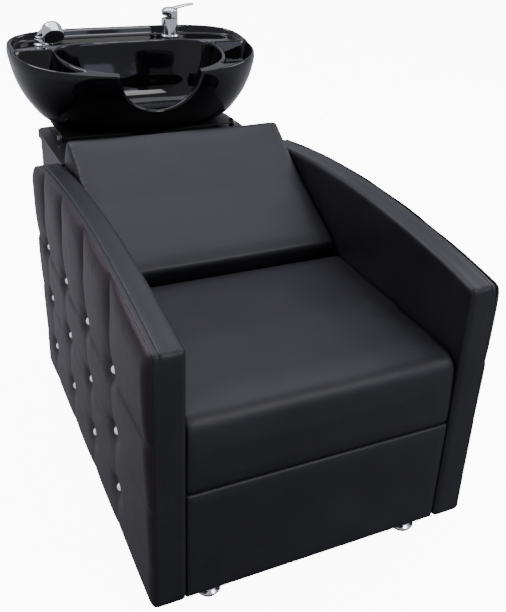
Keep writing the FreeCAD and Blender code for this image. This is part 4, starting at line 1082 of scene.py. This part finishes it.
def basin_skin():
    """The casting's closed skin: under the foot, up the outside, over the rim and down into the drain."""
    # The rays stand closer together across the neck notch and the corner trays
    angles = np.radians(np.concatenate([np.arange(-112.0, 112.0, 0.4), np.arange(112.0, 248.0, 0.8)]))
    sine, cosine = np.sin(angles), np.cos(angles)

    def below_top(share):
        length, up = shell_point(share, sine, cosine)
        inner = length - RIM_ROLL
        return up + RIM_ROLL <= basin_up(inner * sine, DRAIN_BACK - inner * cosine)

    edge_share = halved(np.full_like(sine, 0.15), np.ones_like(sine), 26, below_top)
    edge_length, edge_up = shell_point(edge_share, sine, cosine)
    foot_length, _ = shell_point(np.zeros_like(sine), sine, cosine)
    rings = [(np.full_like(sine, DRAIN_HOLE), np.full_like(sine, FOOT_UP)),
             (foot_length - 0.004, np.full_like(sine, FOOT_UP)),
             (foot_length - 0.0012, np.full_like(sine, FOOT_UP + 0.0008))]
    rings += [shell_point(edge_share * share, sine, cosine) for share in np.linspace(0.012, 1.0, SHELL_RINGS)]
    for step in range(1, ROLL_RINGS):
        turn = math.pi / 2 * step / ROLL_RINGS
        rings.append((edge_length - RIM_ROLL * (1 - math.cos(turn)), edge_up + RIM_ROLL * math.sin(turn)))
    share = np.linspace(0, 1, BOWL_SAMPLES)[:, None]
    inner = edge_length - RIM_ROLL
    length = inner + (DRAIN_HOLE - inner) * share
    up = basin_up(length * sine, DRAIN_BACK - length * cosine)
    strides = np.hypot(np.diff(length, axis=0), np.diff(up, axis=0))
    run = np.vstack([np.zeros(len(sine)), np.cumsum(strides, axis=0)])
    for step in range(BOWL_RINGS):
        wanted = run[-1] * step / (BOWL_RINGS - 1)
        rings.append(tuple(np.array([np.interp(wanted[i], run[:, i], values[:, i]) for i in range(len(sine))])
                           for values in (length, up)))
    points = np.vstack([np.column_stack([r * sine, FRONT + DRAIN_BACK - r * cosine, z]) for r, z in rings])
    faces = lattice(len(rings), len(sine), wrap_rows=True, wrap_columns=True)
    piece = mesh_piece("basin_casting", points, faces, GLAZE, 80.0)
    relax(piece, 2, 0.35)
    return place_piece(piece, "basin", "black_glaze", "basin_bowl", "basin_skirt")


basin_skin()


# Chromed parts: outlines are (radius, height, corner radius), from the lower end up
def foot(node):
    low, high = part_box(node)
    radius, base, top = (high.x - low.x) / 2, low.z, ARM_FOOT
    waist = radius - 0.006
    outline = [(0, base, 0), (radius - 0.002, base, 0.001), (radius, base + 0.003, 0.0015),
               (radius, base + 0.0078, 0.0012), (waist, base + 0.012, 0.002), (waist, top - 0.001, 0.001),
               (waist + 0.002, top, 0.0005), (0, top, 0)]
    piece = lathe(node + "_cup", outline, middle_of(low, high), CHROME)
    place_piece(piece, "unit", "chromed_metal", node)


for node in ("left_front_foot", "right_front_foot", "left_rear_foot", "right_rear_foot"):
    foot(node)

TAP_LOW, TAP_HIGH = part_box("tap_body")
TAP = middle_of(TAP_LOW, TAP_HIGH)
TAP_TOP = TAP_HIGH.z
TAP_RADIUS = 0.0235
TAP_FLANGE = (TAP_HIGH.x - TAP_LOW.x) / 2
CAP_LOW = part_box("tap_lever")[0].z
CAP_TOP = CAP_LOW + 0.028
CAP_CAVITY = CAP_LOW + 0.0205
CAP_RELIEF = 0.0092
LEVER_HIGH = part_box("tap_lever")[1]
BLADE_STEPS = 16


def tap_body():
    """The mixer's body, with its flange on the gasket and a seat for the cartridge on top."""
    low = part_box("tap_gasket")[1].z
    outline = [(0, low, 0), (TAP_FLANGE, low, 0.0006), (TAP_FLANGE, low + 0.003, 0.0012),
               (TAP_RADIUS, low + 0.0065, 0.002), (TAP_RADIUS, TAP_TOP - 0.0004, 0.0008),
               (0.0175, TAP_TOP, 0.0004), (0.0175, TAP_TOP - 0.006, 0), (0, TAP_TOP - 0.006, 0)]
    piece = lathe("tap_body_shell", outline, TAP, CHROME)
    place_piece(piece, "basin", "chromed_metal", "tap_body")


def tap_lever():
    """The cap, hollow over the stem and relieved below for the lift, with the blade on it."""
    outline = [(0, CAP_CAVITY, 0), (0.0125, CAP_CAVITY, 0), (0.0125, CAP_LOW, 0.0004),
               (TAP_RADIUS - 0.0015, CAP_LOW, 0.0006), (TAP_RADIUS, CAP_LOW + 0.001, 0.0008),
               (TAP_RADIUS, CAP_TOP - 0.006, 0.006), (TAP_RADIUS - 0.008, CAP_TOP, 0.006),
               (0, CAP_TOP + 0.0008, 0)]
    cap = lathe("tap_cap", outline, TAP, CHROME)
    points = corner_points(cap)
    heel = np.maximum(TAP.x - points[:, 0], 0) * CAP_RELIEF / (TAP_RADIUS + 0.001)
    points[:, 2] = np.maximum(points[:, 2], CAP_LOW + heel)
    set_points(cap, points)
    stations = []
    for step in range(BLADE_STEPS + 1):
        t = step / BLADE_STEPS
        x = 0.002 + (LEVER_HIGH.x - TAP.x - 0.002) * t
        z = CAP_TOP - 0.006 + (LEVER_HIGH.z - CAP_TOP + 0.0035) * (1 - (1 - t) ** 1.7)
        thick = 0.0048 - 0.0016 * t
        wide = 0.0088 - 0.0012 * t + 0.0012 * math.sin(math.pi * t)
        if step == BLADE_STEPS:
            thick, wide = thick * 0.5, wide * 0.7
        lean = Vector((-0.35 * (1 - t), 0, 1)).normalized()
        stations.append((TAP + Vector((x, 0, z)), Vector((0, wide, 0)), lean * thick))
    blade = swept("tap_blade", stations, CHROME, 28, 3.2)
    lever = made_one("tap_lever_handle", [cap, blade])
    place_piece(lever, "tap_lever", "chromed_metal", "tap_lever")


tap_body()
tap_lever()

HOLDER_LOW, HOLDER_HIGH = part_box("shower_holder")
SHOWER = middle_of(HOLDER_LOW, HOLDER_HIGH)
GRIP_TOP = HOLDER_HIGH.z + 0.0003
GRIP_LENGTH = 0.074
HEAD_DIP = math.radians(40.0)
HEAD_TURN = math.radians(4.0)
HEAD_AXIS = Vector((math.cos(HEAD_DIP) * math.sin(HEAD_TURN), -math.cos(HEAD_DIP) * math.cos(HEAD_TURN),
                    -math.sin(HEAD_DIP)))
HEAD_RADIUS = 0.028
HEAD_LENGTH = 0.040
HEAD_MIDDLE = SHOWER + Vector((0.024, -0.036, GRIP_TOP + 0.023))
HEAD_BACK = HEAD_MIDDLE - HEAD_AXIS * (HEAD_LENGTH / 2)
PLATE_SUNK = 0.003
NECK_STEPS = 12
NOZZLE_RINGS = 4
NOZZLE_PITCH = 0.0047


def shower_holder():
    low, top = HOLDER_LOW.z, HOLDER_HIGH.z
    outline = [(0.01105, low, 0), (0.014, low, 0.0005), (0.014, DECK_UP, 0), (0.021, DECK_UP, 0.0004),
               (0.021, DECK_UP + 0.003, 0.001), (0.017, DECK_UP + 0.0055, 0.002),
               (0.017, top - 0.0005, 0.0012), (0.0125, top, 0.0008), (0.01105, top - 0.001, 0)]
    holder = lathe("shower_holder_cup", outline, SHOWER, CHROME, closed=True)
    place_piece(holder, "basin", "chromed_metal", "shower_holder")


def neck_stations():
    """A bend from the grip's top into the head's back, growing wider on the way."""
    start = SHOWER + Vector((0, 0, GRIP_TOP + 0.003))
    knee = SHOWER + Vector((0.001, -0.002, GRIP_TOP + 0.015))
    end = HEAD_BACK + HEAD_AXIS * 0.014
    stations = []
    for step in range(NECK_STEPS + 1):
        t = step / NECK_STEPS
        way = ((knee - start) * (1 - t) + (end - knee) * t).normalized()
        if stations:
            before = stations[-1][1]
            sideways = (before - way * before.dot(way)).normalized()
        else:
            sideways = way.cross(Vector((0, 0, 1)) if abs(way.z) < 0.9 else Vector((0, 1, 0))).normalized()
        radius = 0.0105 + 0.0035 * t
        upways = way.cross(sideways).normalized()
        stations.append((bent(start, knee, end, t), sideways * radius, upways * radius))
    return stations


def shower_handle():
    """The hand shower as it stands in its holder: grip, bent neck and head."""
    low = GRIP_TOP - GRIP_LENGTH
    grip = [(0, low - 0.009, 0), (0.0074, low - 0.009, 0.0005), (0.008, low - 0.008, 0), (0.008, low, 0),
            (0.011, low, 0.0008), (0.011, GRIP_TOP, 0), (0.015, GRIP_TOP, 0.0006),
            (0.015, GRIP_TOP + 0.005, 0.002), (0.0105, GRIP_TOP + 0.007, 0.001), (0, GRIP_TOP + 0.007, 0)]
    head = [(0, 0.0, 0), (0.014, 0.0, 0.006), (0.0245, 0.004, 0.008), (HEAD_RADIUS, 0.013, 0.008),
            (HEAD_RADIUS, HEAD_LENGTH - 0.001, 0.0012), (HEAD_RADIUS - 0.0035, HEAD_LENGTH, 0.0008),
            (HEAD_RADIUS - 0.0040, HEAD_LENGTH - PLATE_SUNK, 0), (0, HEAD_LENGTH - PLATE_SUNK, 0)]
    parts = [lathe("grip", grip, SHOWER, CHROME), swept("neck", neck_stations(), CHROME, 32, 2.0),
             lathe("head", head, HEAD_BACK, CHROME, HEAD_AXIS)]
    place_piece(made_one("shower_handle_body", parts), "hand_shower", "chromed_metal", "shower_handle")


def nozzle_plate():
    """The dark plate in the head, with rings of small rubber nozzles."""
    centre = HEAD_BACK + HEAD_AXIS * (HEAD_LENGTH - PLATE_SUNK)
    plate = [(0, 0, 0), (0.0238, 0, 0), (0.0238, 0.0022, 0.0008), (0.021, 0.0030, 0.001), (0, 0.0032, 0)]
    nozzle = [(0, 0, 0), (0.0011, 0, 0), (0.0008, 0.0014, 0.0002), (0, 0.0014, 0)]
    parts = [lathe("plate", plate, centre, NOZZLE_PLASTIC, HEAD_AXIS)]
    turn = HEAD_AXIS.to_track_quat("Z", "Y")
    for ring in range(1, NOZZLE_RINGS + 1):
        for step in range(6 * ring):
            spot = centre + turn @ on_circle(NOZZLE_PITCH * ring, 2 * math.pi * step / (6 * ring), 0.0028)
            parts.append(lathe("nub", nozzle, spot, NOZZLE_PLASTIC, HEAD_AXIS, 10))
    place_piece(made_one("nozzle_plate", parts), "hand_shower", "nozzle_plastic", "nozzle_face")


shower_holder()
shower_handle()
nozzle_plate()


# Floor, light and camera
def pale_floor(half):
    """A bright floor that reflections and soft light leave out, so that it doesn't light the piece."""
    material, tree, shader = new_material("pale_floor")
    shade = noise_of(tree, object_place(tree), 1.5, 2.0)
    tree.links.new(tone(tree, shade, (0.86, 0.86, 0.86), (0.90, 0.90, 0.90)), shader.inputs["Base Color"])
    put(shader, {"Roughness": 0.7, "Emission Color": (1.0, 1.0, 1.0, 1), "Emission Strength": 10.0})
    mesh = bpy.data.meshes.new("floor")
    corners = [(-half, -half, 0), (half, -half, 0), (half, half, 0), (-half, half, 0)]
    mesh.from_pydata(corners, [], [(0, 1, 2, 3)])
    mesh.materials.append(material)
    floor = linked("floor", mesh)
    floor.visible_diffuse = False
    floor.visible_glossy = False


def combined(tree, operation, first, second):
    node = add(tree, "ShaderNodeMath", operation=operation)
    tree.links.new(first, node.inputs[0])
    tree.links.new(second, node.inputs[1])
    return node.outputs["Value"]


def surroundings():
    """A dim room by the direction looked in: bright behind, ahead, from above and along the ground."""
    world = bpy.data.worlds.new("studio")
    world.use_nodes = True
    sky = world.node_tree
    parts = add(sky, "ShaderNodeSeparateXYZ")
    sky.links.new(add(sky, "ShaderNodeTexCoord").outputs["Generated"], parts.inputs["Vector"])
    x, y, z = (parts.outputs[axis] for axis in "XYZ")
    behind = combined(sky, "MULTIPLY", mapped(sky, y, -0.10, 0.75), mapped(sky, z, -0.20, 0.30))
    ground = combined(sky, "MULTIPLY", mapped(sky, z, -0.85, -0.45), mapped(sky, x, -0.42, 0.05, 1.0, 0.86))
    ahead = combined(sky, "MULTIPLY", mapped(sky, y, -0.20, -0.70), mapped(sky, z, -0.05, 0.25, 0.0, 0.85))
    most = mapped(sky, z, 0.10, 1.30)
    for part in (behind, ground, ahead):
        most = combined(sky, "MAXIMUM", most, part)
    colour = tone(sky, most, (0.03, 0.03, 0.032), (0.62, 0.62, 0.70), 0.0, 1.0)
    sky.links.new(colour, sky.nodes["Background"].inputs["Color"])
    bpy.context.scene.world = world


# Soft lights: place, what they point at, size, power and colour
LIGHTS = {
    "top_soft": ((0.4, 0.7, 3.4), (0, 0, 0.4), (3.0, 2.4), 60.0, (0.88, 0.88, 1.0)),
    "left_soft": ((-1.5, 1.3, 3.0), (-0.3, 0.1, 0.5), (1.2, 1.2), 44.0, (0.96, 0.91, 1.0)),
    "right_soft": ((2.4, 0.2, 2.1), (0.3, 0.0, 0.35), (1.2, 1.2), 20.0, (0.95, 0.93, 1.0)),
    "front_wide": ((1.5, -2.6, 1.9), (0, 0.45, 0.75), (1.2, 1.8), 13.0, (0.74, 0.76, 1.0)),
    "front_soft": ((0.9, -2.4, 2.6), (0, 0.2, 0.7), (0.9, 1.5), 34.0, (1.0, 0.99, 0.97)),
}
CAMERA_PLACE = Vector((-0.6451, -1.6686, 1.2581))
CAMERA_YAW = math.radians(-25.8)
CAMERA_PITCH = math.radians(26.5)
CAMERA_ROLL = math.radians(2.5)
CAMERA_LENS = 47.47
CAMERA_SHIFT = (-0.0088, -0.0654)


def area_light(name, place, target, size, power, colour):
    data = bpy.data.lights.new(name, "AREA")
    data.shape = "RECTANGLE"
    data.size, data.size_y = size
    data.energy = power
    data.color = colour
    lamp = linked(name, data)
    lamp.location = place
    lamp.rotation_euler = (Vector(target) - Vector(place)).to_track_quat("-Z", "Y").to_euler()


def camera():
    yaw, pitch, roll_angle = CAMERA_YAW, CAMERA_PITCH, CAMERA_ROLL
    forward = Vector((-math.sin(yaw) * math.cos(pitch), math.cos(yaw) * math.cos(pitch), -math.sin(pitch)))
    right = Vector((math.cos(yaw), math.sin(yaw), 0))
    upward = right.cross(forward)
    right_rolled = right * math.cos(roll_angle) + upward * math.sin(roll_angle)
    up_rolled = upward * math.cos(roll_angle) - right * math.sin(roll_angle)
    data = bpy.data.cameras.new("camera")
    data.lens = CAMERA_LENS
    data.sensor_width = 36.0
    data.shift_x, data.shift_y = CAMERA_SHIFT
    data.clip_end = 60.0
    eye = linked("camera", data)
    turn = Matrix((right_rolled, up_rolled, -forward)).transposed()
    eye.matrix_world = Matrix.Translation(CAMERA_PLACE) @ turn.to_4x4()
    bpy.context.scene.camera = eye


pale_floor(14.0)
surroundings()
for name, light in LIGHTS.items():
    area_light(name, *light)
camera()
